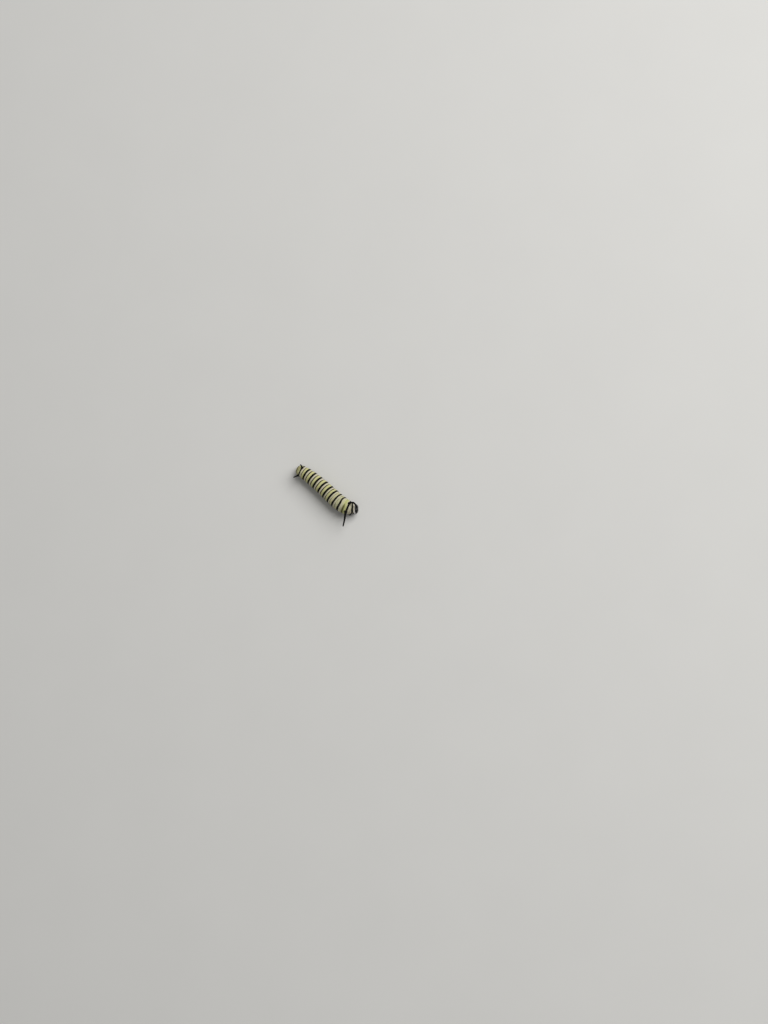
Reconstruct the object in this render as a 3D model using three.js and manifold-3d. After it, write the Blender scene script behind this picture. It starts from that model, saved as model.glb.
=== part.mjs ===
// A monarch butterfly's larva in its third instar, as a still, life-size model.
// Millimetres. +X runs toward the head, +Y to the larva's left and +Z up, with the floor at z = 0.
import * as THREE from 'three';
import { mergeVertices } from 'three/addons/utils/BufferGeometryUtils.js';
import Module from 'manifold-3d';

const wasm = await Module();
wasm.setup();

const { degToRad, lerp } = THREE.MathUtils;

// Driving dimensions

const SIDES = [['left', 1], ['right', -1]];

// The gap between two pieces that meet, and the finer one between the small pieces of the head
const SEAM = 0.1;
const FINE_SEAM = 0.05;

// The trunk, one row for each segment from the tail to the neck. length runs along the middle, width
// and height are taken half way along the segment, and belly is its underside's height over the floor.
// heading turns toward the larva's left and nod toward the floor, both in degrees.
const SEGMENTS = [
  { name: 'anal_segment', length: 0.55, width: 1.7, height: 1.56, belly: 0.42, heading: 15, nod: 0 },
  { name: 'abdomen_8', length: 0.82, width: 1.82, height: 1.7, belly: 0.42, heading: 9.5, nod: 0 },
  { name: 'abdomen_7', length: 1.02, width: 1.98, height: 1.84, belly: 0.42, heading: 4.5, nod: 0 },
  { name: 'abdomen_6', length: 1.11, width: 2.1, height: 1.94, belly: 0.4, heading: 1.5, nod: 0 },
  { name: 'abdomen_5', length: 1.1, width: 2.18, height: 2.02, belly: 0.4, heading: -0.5, nod: 0 },
  { name: 'abdomen_4', length: 1.12, width: 2.23, height: 2.08, belly: 0.4, heading: -2.5, nod: 0 },
  { name: 'abdomen_3', length: 1.14, width: 2.3, height: 2.14, belly: 0.4, heading: -4, nod: 0 },
  { name: 'abdomen_2', length: 1.0, width: 2.38, height: 2.2, belly: 0.4, heading: -3.5, nod: 0 },
  { name: 'abdomen_1', length: 0.87, width: 2.4, height: 2.2, belly: 0.4, heading: -1, nod: 1 },
  { name: 'metathorax', length: 0.97, width: 2.42, height: 2.16, belly: 0.42, heading: 4.5, nod: 4 },
  { name: 'mesothorax', length: 1.02, width: 2.24, height: 2.02, belly: 0.44, heading: 15, nod: 11 },
  { name: 'prothorax', length: 0.42, width: 1.9, height: 1.76, belly: 0.5, heading: 27, nod: 22 },
];
const NECK = { width: 1.56, height: 1.5, belly: 0.57, heading: 35, nod: 31 };

// How the trunk's skin is shaped: the folds between segments, the two finer rings across each
// segment, the ridge low on the flank, and the rounded tail
const FOLD_DEPTH = 0.045;
const FOLD_SHARPNESS = 4;
const RING_DEPTH = 0.014;
const RING_PLACES = [0.34, 0.68];
const RING_WIDTH = 0.06;
const FLANK_RIDGE = 0.03;
const FLANK_ANGLE = 115;
const FLANK_SPREAD = 16;
const BELLY_SQUARENESS = 0.82;
const TAIL_ROUND = 0.82;
const TAIL_TIP_HEIGHT = 0.5;
const TAIL_TIP = 0.02;

// Where the loops of each segment's surface lie, as fractions of its length
const LOOP_PLACES = [0, 0.07, 0.2, 0.34, 0.44, 0.58, 0.68, 0.8, 0.93, 1];
const TRUNK_SIDES = 28;
const MIDLINE_STEP = 0.02;

// How near two points of a solid lie before they are one
const MERGE = 1e-4;

// The horn-like filaments: two long ones on the mesothorax and two short ones near the tail.
// angle is how far down from the top of the back each is rooted, and reach is the way to its tip.
const FILAMENTS = [
  {
    name: 'filament_front_left', segment: 'mesothorax', along: 0.58, angle: 32,
    reach: [1.43, 0.27, 0.03], bow: [-0.085, 0.4, 0.44], base: 0.27, tip: 0.12,
  },
  {
    name: 'filament_front_right', segment: 'mesothorax', along: 0.58, angle: -41,
    reach: [1.27, -2.06, 0.3], bow: [0.1, 0, 0.16], base: 0.27, tip: 0.12,
  },
  {
    name: 'filament_rear_left', segment: 'abdomen_8', along: 0.5, angle: 31,
    reach: [-0.39, 0.24, 0.75], bow: [0.02, 0.04, 0.06], base: 0.25, tip: 0.12,
  },
  {
    name: 'filament_rear_right', segment: 'abdomen_8', along: 0.5, angle: -57,
    reach: [-0.3, -0.8, 0.37], bow: [0.02, -0.03, 0.1], base: 0.25, tip: 0.12,
  },
];
const FILAMENT_ROOT = 0.35;
const FILAMENT_ROUNDS_FROM = 0.92;
const FILAMENT_TIP_FLAT = 0.45;
const FILAMENT_SIDES = 12;
const FILAMENT_STEPS = 10;

// The jointed legs, one pair on each thoracic segment. Each runs from its root in the flank over a
// knee to its claw: forward and outward from the root, and at the height over the floor that z gives.
const LEGS = [
  {
    name: 'leg_front', segment: 'prothorax', along: 0.2, angle: 132,
    knee: [0.16, 0.2, 0.44], ankle: [0.32, 0.1, 0.16], thick: 0.23,
  },
  {
    name: 'leg_middle', segment: 'mesothorax', along: 0.52, angle: 138,
    knee: [0.12, 0.18, 0.46], ankle: [0.3, 0.1, 0.16], thick: 0.26,
  },
  {
    name: 'leg_rear', segment: 'metathorax', along: 0.5, angle: 138,
    knee: [0.1, 0.16, 0.46], ankle: [0.26, 0.08, 0.16], thick: 0.26,
  },
];
const LEG_SIDES = 10;
const LEG_STEPS = 9;
const LEG_TIP = 0.09;
const LEG_TAPER = 1.2;
const LEG_ROOT = 0.3;

// How far the claw runs on from the ankle, ahead and inward, and how far under the floor it is cut
const CLAW = { reach: 0.04, under: 0.06 };

// The soft false legs under the abdomen and the pair of claspers under the tail. Each loop has its
// height over the floor and its half widths along and across the body.
const PROLEG_SEGMENTS = ['abdomen_3', 'abdomen_4', 'abdomen_5', 'abdomen_6'];
const PROLEG_LOOPS = [
  { height: 0, along: 0.2, across: 0.16 },
  { height: 0.06, along: 0.26, across: 0.22 },
  { height: 0.16, along: 0.27, across: 0.23 },
  { height: 0.26, along: 0.23, across: 0.19 },
  { height: 0.38, along: 0.28, across: 0.24 },
  { height: 0.62, along: 0.36, across: 0.32 },
];
const PROLEG_SPREAD = 0.62;
const PROLEG_LEAN = 0.14;
const PROLEG_LEAN_LEVEL = 0.3;
const PROLEG_PLACE = 0.5;
const CLASPER_SPREAD = 0.46;
const CLASPER_PLACE = 0.42;
const CLASPER_SCALE = 1.12;
const PROLEG_SIDES = 14;

// The head capsule: half widths ahead, to the side and up, its two swollen lobes with the groove
// between them, the sunken plate of the face, and the flat field of the mouth below
const HEAD = { heading: 42, nod: 26, forward: 0.28, drop: 0.04, deep: 0.62, wide: 0.83, high: 0.76 };
const LOBE = { swell: 0.07, ahead: 0.35, side: 0.55, up: 0.55, spread: 0.6 };
const GROOVE = { depth: 0.09, width: 0.1, lowest: 0.02, fade: 0.2 };
const FACE = { depth: 0.035, top: 0.12, slope: 0.42, bottom: -0.62 };
const MOUTH_LEVEL = -0.58;
const HEAD_SIDES = 28;
const HEAD_LOOPS = 18;
const MOUTH_SIDES = 12;
const MOUTH_LOOPS = 8;
const EYE_PLATE_SIDES = 16;
const LENS_SIDES = 8;
const LENS_LOOPS = 6;

// The mouth parts: the upper lip, the jaws, the lower lip with its silk tube, and the feelers
const LABRUM = {
  wide: 0.52, top: -0.36, bottom: -0.8, notch: 0.07, narrowed: 0.8, corner: 0.11,
  deep: 0.12, forward: 0.44, lean: 4,
};
const MANDIBLE = { deep: 0.16, wide: 0.18, high: 0.26, forward: 0.2, side: 0.22, drop: 0.62 };
const LABIUM = { deep: 0.14, wide: 0.13, high: 0.22, forward: -0.16, drop: 0.62 };
const MAXILLA = { deep: 0.12, wide: 0.1, high: 0.24, forward: -0.1, side: 0.18, drop: 0.62 };
const SPINNERET = { radius: 0.06, tip: 0.035, length: 0.22, lean: 20 };
const ANTENNA = { root: [0.2, 0.34, -0.36], tip: [0.46, 0.62, -0.84], base: 0.12, end: 0.06 };

// The six simple eyes on each side, on one small plate: five on an arc and one behind it
const EYE = { ahead: 0.5, side: 0.8, up: -0.34, plate: 0.21, depth: 0.1, lens: 0.05, arc: 0.14 };
const EYE_ARC_ANGLES = [-70, -25, 20, 65, 110];

// Materials

const finish = (name, color, roughness) =>
  new THREE.MeshStandardMaterial({ name, color, roughness, metalness: 0 });
const SKIN = finish('banded_skin', 0xb4b08c, 0.5);
const BLACK = finish('black_cuticle', 0x141210, 0.32);
const SOFT_BLACK = finish('dark_soft_skin', 0x1d1a18, 0.5);
const PALE = finish('pale_mouth', 0xb5ab94, 0.45);
const LENS = finish('eye_lens', 0x0a0908, 0.12);

// Solids

/** Joins closed loops of equal count into one closed geometry, with a flat end at each outer loop. */
function loft(loops) {
  const sides = loops[0].length;
  const vertices = loops.flat();
  const faces = [];
  for (let i = 0; i < loops.length - 1; i++) {
    for (let j = 0; j < sides; j++) {
      const here = i * sides + j;
      const beside = i * sides + ((j + 1) % sides);
      faces.push(here, beside, here + sides);
      faces.push(beside, beside + sides, here + sides);
    }
  }
  const capEnd = (loop, start, facesForward) => {
    const middle = loop.reduce((sum, p) => sum.add(p), new THREE.Vector3()).divideScalar(sides);
    vertices.push(middle);
    for (let j = 0; j < sides; j++) {
      const edge = [start + j, start + ((j + 1) % sides)];
      faces.push(vertices.length - 1, ...(facesForward ? edge : edge.reverse()));
    }
  };
  capEnd(loops[0], 0, false);
  capEnd(loops.at(-1), (loops.length - 1) * sides, true);
  const geometry = new THREE.BufferGeometry().setFromPoints(vertices);
  geometry.setIndex(faces);
  return geometry;
}

/** Turns a closed geometry into a solid that can be joined and cut. */
function solid(geometry) {
  const bare = geometry.clone();
  bare.deleteAttribute('normal');
  bare.deleteAttribute('uv');
  const merged = mergeVertices(bare, MERGE);
  return new wasm.Manifold(
    new wasm.Mesh({
      numProp: 3,
      vertProperties: merged.attributes.position.array,
      triVerts: new Uint32Array(merged.index.array),
    }),
  );
}

/** Gives back the largest closed body of a solid as a geometry. */
function geometryOf(joined) {
  const bodies = joined.decompose();
  const largest = bodies.reduce((best, body) => (body.volume() > best.volume() ? body : best));
  const mesh = largest.getMesh();
  const geometry = new THREE.BufferGeometry();
  geometry.setAttribute('position', new THREE.Float32BufferAttribute(mesh.vertProperties, 3));
  geometry.setIndex([...mesh.triVerts]);
  return geometry;
}

/** An ellipsoid with the given half widths, with its poles up and down. */
function ellipsoid(halfX, halfY, halfZ, sides, loops) {
  return new THREE.SphereGeometry(1, sides, loops).rotateX(Math.PI / 2).scale(halfX, halfY, halfZ);
}

/** A limb with round sections along a curve, radiusAt giving the radius from its root to its tip. */
function limb(curve, radiusAt, steps, sides) {
  const { normals, binormals } = curve.computeFrenetFrames(steps, false);
  const loops = [];
  for (let i = 0; i <= steps; i++) {
    const centre = curve.getPointAt(i / steps);
    const radius = radiusAt(i / steps);
    const loop = [];
    for (let j = 0; j < sides; j++) {
      const turn = (2 * Math.PI * j) / sides;
      loop.push(
        centre
          .clone()
          .addScaledVector(normals[i], radius * Math.cos(turn))
          .addScaledVector(binormals[i], radius * Math.sin(turn)),
      );
    }
    loops.push(loop);
  }
  return loft(loops);
}

// The trunk's course

const TRUNK_LENGTH = SEGMENTS.reduce((sum, segment) => sum + segment.length, 0);
const segmentNamed = new Map();
const KNOTS = [];
let reached = 0;
for (const segment of SEGMENTS) {
  segmentNamed.set(segment.name, { ...segment, start: reached });
  KNOTS.push({ ...segment, at: reached + segment.length / 2 });
  reached += segment.length;
}
KNOTS.push({ ...NECK, at: TRUNK_LENGTH });

/** One of the trunk's sizes at a distance from the tail, eased from segment to segment. */
function along(size, distance) {
  const after = KNOTS.findIndex((knot) => knot.at > distance);
  if (after === 0) return KNOTS[0][size];
  if (after < 0) return KNOTS.at(-1)[size];
  const from = KNOTS[after - 1];
  const to = KNOTS[after];
  const before = KNOTS[after - 2] ?? from;
  const beyond = KNOTS[after + 1] ?? to;
  const span = to.at - from.at;
  const t = (distance - from.at) / span;
  const slopeFrom = ((to[size] - before[size]) / (to.at - before.at)) * span;
  const slopeTo = ((beyond[size] - from[size]) / (beyond.at - from.at)) * span;
  const ease = t * t * (3 - 2 * t);
  const risen = t * (1 - t);
  return lerp(from[size], to[size], ease) + risen * (slopeFrom * (1 - t) - slopeTo * t);
}

/** The unit directions of the trunk at a distance from the tail. */
function directions(distance) {
  const heading = degToRad(along('heading', distance));
  const nod = degToRad(along('nod', distance));
  const forward = new THREE.Vector3(
    Math.cos(heading) * Math.cos(nod),
    Math.sin(heading) * Math.cos(nod),
    -Math.sin(nod),
  );
  const left = new THREE.Vector3(-Math.sin(heading), Math.cos(heading), 0);
  return { forward, left, up: forward.clone().cross(left) };
}

const midline = [new THREE.Vector2()];
for (let distance = 0; distance < TRUNK_LENGTH; distance += MIDLINE_STEP) {
  const heading = degToRad(along('heading', distance + MIDLINE_STEP / 2));
  const step = new THREE.Vector2(Math.cos(heading), Math.sin(heading)).multiplyScalar(MIDLINE_STEP);
  midline.push(midline.at(-1).clone().add(step));
}

/** How far the rounded tail has opened at a distance from its end, from 0 to 1. */
function tailOpening(distance) {
  const short = Math.max(0, 1 - distance / TAIL_ROUND);
  return Math.sqrt(1 - short * short);
}

/** The middle of the trunk's section at a distance from the tail. */
function centreAt(distance) {
  const place = Math.max(distance / MIDLINE_STEP, 0);
  const index = Math.min(Math.floor(place), midline.length - 2);
  const plan = midline[index].clone().lerp(midline[index + 1], place - index);
  const rise = lerp(TAIL_TIP_HEIGHT, 1, tailOpening(distance));
  const height = along('belly', distance) + (along('height', distance) / 2) * rise;
  return new THREE.Vector3(plan.x, plan.y, height);
}

/** How the folds and rings across the segments pinch the trunk, as a factor on its section. */
function pinch(distance) {
  const segment = [...segmentNamed.values()].findLast((row) => row.start <= distance + MERGE);
  const u = THREE.MathUtils.clamp((distance - segment.start) / segment.length, 0, 1);
  const fold = FOLD_DEPTH * Math.abs(2 * u - 1) ** FOLD_SHARPNESS;
  const rings = RING_PLACES.map((place) => Math.exp(-(((u - place) / RING_WIDTH) ** 2)));
  return 1 - fold - RING_DEPTH * (rings[0] + rings[1]);
}

/** A point on the trunk's skin. angle is measured down from the top of the back toward the left. */
function skinPoint(distance, angle, grow = 0) {
  const { left, up } = directions(distance);
  const scale = pinch(distance) * tailOpening(distance);
  const radians = degToRad(angle);
  const ridge = 1 + FLANK_RIDGE * Math.exp(-(((Math.abs(angle) - FLANK_ANGLE) / FLANK_SPREAD) ** 2));
  const halfWidth = (along('width', distance) / 2) * scale * ridge + grow;
  const halfHeight = (along('height', distance) / 2) * scale + grow;
  const rise = Math.cos(radians);
  const squared = rise < 0 ? -(Math.abs(rise) ** BELLY_SQUARENESS) : rise;
  return centreAt(distance)
    .addScaledVector(left, halfWidth * Math.sin(radians))
    .addScaledVector(up, halfHeight * squared);
}

/** One loop round the trunk's skin. */
function skinLoop(distance, grow = 0) {
  const loop = [];
  for (let j = 0; j < TRUNK_SIDES; j++) {
    const angle = (360 * j) / TRUNK_SIDES;
    loop.push(skinPoint(distance, angle > 180 ? angle - 360 : angle, grow));
  }
  return loop.reverse();
}

/** Where a fraction of a named segment lies, as a distance from the tail. */
function distanceOn(name, fraction) {
  const segment = segmentNamed.get(name);
  return segment.start + segment.length * fraction;
}

// The whole trunk made larger by the seam, for cutting what grows from it
const envelopeLoops = [];
for (const segment of segmentNamed.values()) {
  for (const place of LOOP_PLACES.slice(0, -1)) {
    envelopeLoops.push(skinLoop(Math.max(segment.start + place * segment.length, TAIL_TIP), SEAM));
  }
}
envelopeLoops.push(skinLoop(TRUNK_LENGTH, SEAM));
const trunkEnvelope = solid(loft(envelopeLoops));

// Everything over the floor, for cutting feet flat
const ROOM = 40;
const overFloor = solid(new THREE.BoxGeometry(ROOM, ROOM, ROOM).translate(0, 0, ROOM / 2));

// Pieces

/** Adds a named piece, with its geometry kept round its own anchor. */
function addPiece(group, name, geometry, material, anchor) {
  const around = group.userData.anchor ?? new THREE.Vector3();
  const mesh = new THREE.Mesh(geometry.translate(-anchor.x, -anchor.y, -anchor.z), material);
  geometry.computeVertexNormals();
  mesh.name = name;
  mesh.position.copy(anchor).sub(around);
  group.add(mesh);
}

/** A group set at a point of the larva, for the pieces of one region. */
function region(name, anchor) {
  const group = new THREE.Group();
  group.name = name;
  group.userData.anchor = anchor.clone();
  group.position.copy(anchor);
  return group;
}

const larva = new THREE.Group();
larva.name = 'monarch_larva';
const thorax = region('thorax', centreAt(distanceOn('mesothorax', 0)));
const abdomen = region('abdomen', centreAt(distanceOn('abdomen_4', 0)));

/** The region that a segment belongs to. */
function regionOf(segmentName) {
  return segmentName.endsWith('thorax') ? thorax : abdomen;
}

function buildTrunk() {
  for (const segment of segmentNamed.values()) {
    const isTail = segment === segmentNamed.get(SEGMENTS[0].name);
    const isNeck = segment === segmentNamed.get(SEGMENTS.at(-1).name);
    const from = segment.start + (isTail ? TAIL_TIP : SEAM / 2);
    const to = segment.start + segment.length - (isNeck ? 0 : SEAM / 2);
    const loops = LOOP_PLACES.map((place) => skinLoop(lerp(from, to, place)));
    addPiece(regionOf(segment.name), segment.name, loft(loops), SKIN, centreAt((from + to) / 2));
  }
}

function buildFilaments() {
  for (const filament of FILAMENTS) {
    const distance = distanceOn(filament.segment, filament.along);
    const root = skinPoint(distance, filament.angle);
    const inward = centreAt(distance).sub(root).normalize().multiplyScalar(FILAMENT_ROOT);
    const tip = root.clone().add(new THREE.Vector3(...filament.reach));
    const middle = root.clone().lerp(tip, 0.5).add(new THREE.Vector3(...filament.bow));
    const curve = new THREE.CatmullRomCurve3([root.clone().add(inward), root, middle, tip]);
    const radiusAt = (t) => {
      const rounding = Math.max(0, (t - FILAMENT_ROUNDS_FROM) / (1 - FILAMENT_ROUNDS_FROM));
      const blunt = Math.sqrt(Math.max(0, 1 - rounding ** 2));
      return lerp(filament.base, filament.tip, t) * lerp(FILAMENT_TIP_FLAT, 1, blunt);
    };
    const grown = solid(limb(curve, radiusAt, FILAMENT_STEPS, FILAMENT_SIDES));
    const geometry = geometryOf(grown.subtract(trunkEnvelope));
    addPiece(regionOf(filament.segment), filament.name, geometry, BLACK, root);
  }
}

function buildLegs() {
  for (const leg of LEGS) {
    for (const [sideName, side] of SIDES) {
      const distance = distanceOn(leg.segment, leg.along);
      const root = skinPoint(distance, leg.angle * side);
      const { left } = directions(distance);
      const forward = new THREE.Vector3(left.y, -left.x, 0);
      const at = ([ahead, out, height]) => {
        const point = root.clone().addScaledVector(forward, ahead).addScaledVector(left, out * side);
        return point.setZ(height);
      };
      const inward = centreAt(distance).sub(root).normalize().multiplyScalar(LEG_ROOT);
      const [ahead, out] = leg.ankle;
      const points = [root.clone().add(inward), root, at(leg.knee), at(leg.ankle)];
      points.push(at([ahead + CLAW.reach, out - CLAW.reach, -CLAW.under]));
      const radiusAt = (t) => lerp(leg.thick, LEG_TIP, t ** LEG_TAPER);
      const grown = solid(limb(new THREE.CatmullRomCurve3(points), radiusAt, LEG_STEPS, LEG_SIDES));
      const geometry = geometryOf(grown.subtract(trunkEnvelope).subtract(headEnvelope).intersect(overFloor));
      addPiece(thorax, `${leg.name}_${sideName}`, geometry, BLACK, root);
    }
  }
}

/** One false leg, whose sole lies flat on the floor. */
function falseLeg(distance, side, spread, scale) {
  const { left } = directions(distance);
  const forward = new THREE.Vector3(left.y, -left.x, 0);
  const middle = centreAt(distance).setZ(0);
  const loops = PROLEG_LOOPS.map((row) => {
    const lean = spread + PROLEG_LEAN * (PROLEG_LEAN_LEVEL - row.height);
    const centre = middle.clone().addScaledVector(left, lean * side).setZ(row.height);
    const loop = [];
    for (let j = 0; j < PROLEG_SIDES; j++) {
      const turn = (2 * Math.PI * j) / PROLEG_SIDES;
      loop.push(
        centre
          .clone()
          .addScaledVector(forward, row.along * scale * Math.cos(turn))
          .addScaledVector(left, row.across * scale * Math.sin(turn)),
      );
    }
    return loop;
  });
  return geometryOf(solid(loft(loops)).subtract(trunkEnvelope));
}

function buildFalseLegs() {
  for (const [sideName, side] of SIDES) {
    for (const segmentName of PROLEG_SEGMENTS) {
      const distance = distanceOn(segmentName, PROLEG_PLACE);
      const name = `proleg_${segmentName.at(-1)}_${sideName}`;
      const geometry = falseLeg(distance, side, PROLEG_SPREAD, 1);
      addPiece(abdomen, name, geometry, SOFT_BLACK, centreAt(distance).setZ(0));
    }
    const geometry = falseLeg(CLASPER_PLACE, side, CLASPER_SPREAD, CLASPER_SCALE);
    addPiece(abdomen, `clasper_${sideName}`, geometry, SOFT_BLACK, centreAt(CLASPER_PLACE).setZ(0));
  }
}

/** The head capsule's outer shape about its own middle, grown by a distance. */
function capsuleShape(grow) {
  const shape = ellipsoid(1, 1, 1, HEAD_SIDES, HEAD_LOOPS);
  const position = shape.attributes.position;
  const lobeCentre = new THREE.Vector3(LOBE.ahead, LOBE.side, LOBE.up).normalize();
  for (let i = 0; i < position.count; i++) {
    const out = new THREE.Vector3().fromBufferAttribute(position, i);
    const toLobe = Math.hypot(out.x - lobeCentre.x, Math.abs(out.y) - lobeCentre.y, out.z - lobeCentre.z);
    const swell = 1 + LOBE.swell * Math.exp(-((toLobe / LOBE.spread) ** 2));
    const middle = Math.exp(-(((out.y * HEAD.wide) / GROOVE.width) ** 2));
    const grooveTop = GROOVE.lowest + GROOVE.fade;
    const isFront = out.x > 0 && out.z < grooveTop;
    const onCrown = isFront ? THREE.MathUtils.smoothstep(out.z, GROOVE.lowest, grooveTop) : 1;
    const faceHalfWidth = Math.max(0, (FACE.top - out.z) * FACE.slope);
    const onFace = out.x > 0 && out.z > FACE.bottom && Math.abs(out.y) < faceHalfWidth;
    const sunk = GROOVE.depth * middle * onCrown + (onFace ? FACE.depth : 0);
    position.setXYZ(
      i,
      out.x * (HEAD.deep * swell + grow - sunk),
      out.y * (HEAD.wide * swell + grow - sunk),
      out.z * (HEAD.high * swell + grow - sunk),
    );
  }
  return shape;
}

/** The frame of the small plate that carries the eyes of one side, with its third axis outward. */
function eyeFrame(side) {
  const toward = new THREE.Vector3(EYE.ahead, EYE.side * side, EYE.up).normalize();
  const reach = Math.hypot(toward.x / HEAD.deep, toward.y / HEAD.wide, toward.z / HEAD.high);
  const surface = toward.multiplyScalar(1 / reach);
  const outward = new THREE.Vector3(
    surface.x / HEAD.deep ** 2, surface.y / HEAD.wide ** 2, surface.z / HEAD.high ** 2,
  ).normalize();
  const turn = new THREE.Quaternion().setFromUnitVectors(new THREE.Vector3(0, 0, 1), outward);
  return new THREE.Matrix4().compose(surface, turn, new THREE.Vector3(1, 1, 1));
}

/** The outline of the upper lip, seen from the front, notched in the middle of its lower edge. */
function labrumOutline() {
  const half = LABRUM.wide / 2;
  const outline = new THREE.Shape();
  outline.moveTo(-half * LABRUM.narrowed, LABRUM.top);
  outline.lineTo(half * LABRUM.narrowed, LABRUM.top);
  outline.lineTo(half, LABRUM.bottom + LABRUM.corner);
  outline.quadraticCurveTo(half, LABRUM.bottom, half / 2, LABRUM.bottom);
  outline.lineTo(LABRUM.notch, LABRUM.bottom);
  outline.lineTo(0, LABRUM.bottom + LABRUM.notch);
  outline.lineTo(-LABRUM.notch, LABRUM.bottom);
  outline.lineTo(-half / 2, LABRUM.bottom);
  outline.quadraticCurveTo(-half, LABRUM.bottom, -half, LABRUM.bottom + LABRUM.corner);
  outline.closePath();
  return outline;
}

// Where the head sits on the neck, and its outer shape grown by the seam for cutting what is near it
const neckCentre = centreAt(TRUNK_LENGTH);
const neck = directions(TRUNK_LENGTH);
const headOrigin = neckCentre.clone().addScaledVector(neck.forward, HEAD.forward);
headOrigin.z -= HEAD.drop;
const headFrame = new THREE.Matrix4()
  .makeRotationZ(degToRad(HEAD.heading))
  .multiply(new THREE.Matrix4().makeRotationY(degToRad(HEAD.nod)))
  .setPosition(headOrigin);
const headEnvelope = solid(capsuleShape(SEAM).applyMatrix4(headFrame));

function buildHead() {
  const place = (geometry) => solid(geometry.applyMatrix4(headFrame));
  const block = () => new THREE.BoxGeometry(ROOM, ROOM, ROOM);
  const head = region('head', headOrigin);
  larva.add(head);

  const neckFrame = new THREE.Matrix4().makeBasis(neck.forward, neck.left, neck.up);
  neckFrame.setPosition(neckCentre);
  const behindNeck = solid(block().translate(-ROOM / 2 + SEAM, 0, 0).applyMatrix4(neckFrame));
  const underMouth = place(block().translate(0, 0, MOUTH_LEVEL - ROOM / 2));
  const mouthRoom = place(block().translate(0, 0, MOUTH_LEVEL - FINE_SEAM - ROOM / 2));
  const bare = place(capsuleShape(0));
  const envelope = place(capsuleShape(FINE_SEAM));

  const plug = (radius, depth, frame) =>
    place(
      new THREE.CylinderGeometry(radius, radius, depth * 2, EYE_PLATE_SIDES)
        .rotateX(Math.PI / 2)
        .applyMatrix4(frame),
    );
  let skull = bare.subtract(behindNeck).subtract(underMouth);
  for (const [sideName, side] of SIDES) {
    const frame = eyeFrame(side);
    skull = skull.subtract(plug(EYE.plate + FINE_SEAM, EYE.depth + FINE_SEAM, frame));
    let eyes = bare.intersect(plug(EYE.plate, EYE.depth, frame));
    const lensPlaces = EYE_ARC_ANGLES.map((angle) => [
      EYE.arc * Math.cos(degToRad(angle)),
      EYE.arc * Math.sin(degToRad(angle)) * side,
    ]);
    lensPlaces.push([-EYE.arc, 0]);
    for (const [x, y] of lensPlaces) {
      const sag = (x * x + y * y) / (2 * HEAD.high);
      const lens = ellipsoid(EYE.lens, EYE.lens, EYE.lens, LENS_SIDES, LENS_LOOPS);
      eyes = eyes.add(place(lens.translate(x, y, -sag).applyMatrix4(frame)));
    }
    addPiece(head, `eyes_${sideName}`, geometryOf(eyes), LENS, headOrigin);
  }
  addPiece(head, 'head_capsule', geometryOf(skull), BLACK, headOrigin);

  const lip = new THREE.ExtrudeGeometry(labrumOutline(), {
    depth: LABRUM.deep, bevelEnabled: false, curveSegments: 3,
  });
  // The outline's right is the larva's left, its up is up, and it is thick toward the front
  lip.applyMatrix4(new THREE.Matrix4().makeBasis(
    new THREE.Vector3(0, 1, 0), new THREE.Vector3(0, 0, 1), new THREE.Vector3(1, 0, 0)));
  lip.rotateY(degToRad(LABRUM.lean)).translate(LABRUM.forward, 0, 0);
  addPiece(head, 'labrum', geometryOf(place(lip).subtract(envelope)), PALE, headOrigin);

  const lowerLip = (row, side) =>
    place(
      ellipsoid(row.deep, row.wide, row.high, MOUTH_SIDES, MOUTH_LOOPS)
        .translate(row.forward, (row.side ?? 0) * side, -row.drop),
    );
  const tube = new THREE.CylinderGeometry(SPINNERET.radius, SPINNERET.tip, SPINNERET.length, LENS_SIDES)
    .rotateX(Math.PI / 2)
    .rotateY(degToRad(SPINNERET.lean))
    .translate(LABIUM.forward, 0, -LABIUM.drop - LABIUM.high);
  const labium = lowerLip(LABIUM, 0).add(lowerLip(MAXILLA, 1)).add(lowerLip(MAXILLA, -1)).add(place(tube));
  addPiece(head, 'labium', geometryOf(labium.intersect(mouthRoom)), PALE, headOrigin);

  for (const [sideName, side] of SIDES) {
    const jaw = lowerLip(MANDIBLE, side).intersect(mouthRoom);
    addPiece(head, `mandible_${sideName}`, geometryOf(jaw), BLACK, headOrigin);
    const [root, tip] = [ANTENNA.root, ANTENNA.tip].map(([x, y, z]) => new THREE.Vector3(x, y * side, z));
    const feeler = limb(new THREE.LineCurve3(root, tip), (t) => lerp(ANTENNA.base, ANTENNA.end, t), 2, 8);
    const geometry = geometryOf(place(feeler).subtract(envelope));
    addPiece(head, `antenna_${sideName}`, geometry, BLACK, headOrigin);
  }
}

larva.add(thorax, abdomen);
buildTrunk();
buildFilaments();
buildLegs();
buildFalseLegs();
buildHead();

// The larva stands with the middle of its outline over the origin
const outline = new THREE.Box3().setFromObject(larva, true);
const middle = outline.getCenter(new THREE.Vector3());
larva.position.set(-middle.x, -middle.y, -outline.min.z);

export default larva;
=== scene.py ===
"""The looks of a monarch butterfly's larva in its third instar, a still, life-size model.

The larva is shaped in millimetres from the tail, and each finished piece is moved into the frame's metres.
"""

from __future__ import annotations

import logging
import random
from collections.abc import Callable, Iterable, Sequence
from dataclasses import dataclass, field
from enum import Enum
from itertools import chain, pairwise
from math import asin, atan2, copysign, cos, degrees, exp, hypot, pi, radians, remainder, sin, sqrt, tau

import bmesh
import bpy
from mathutils import Matrix, Quaternion, Vector, noise


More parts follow.
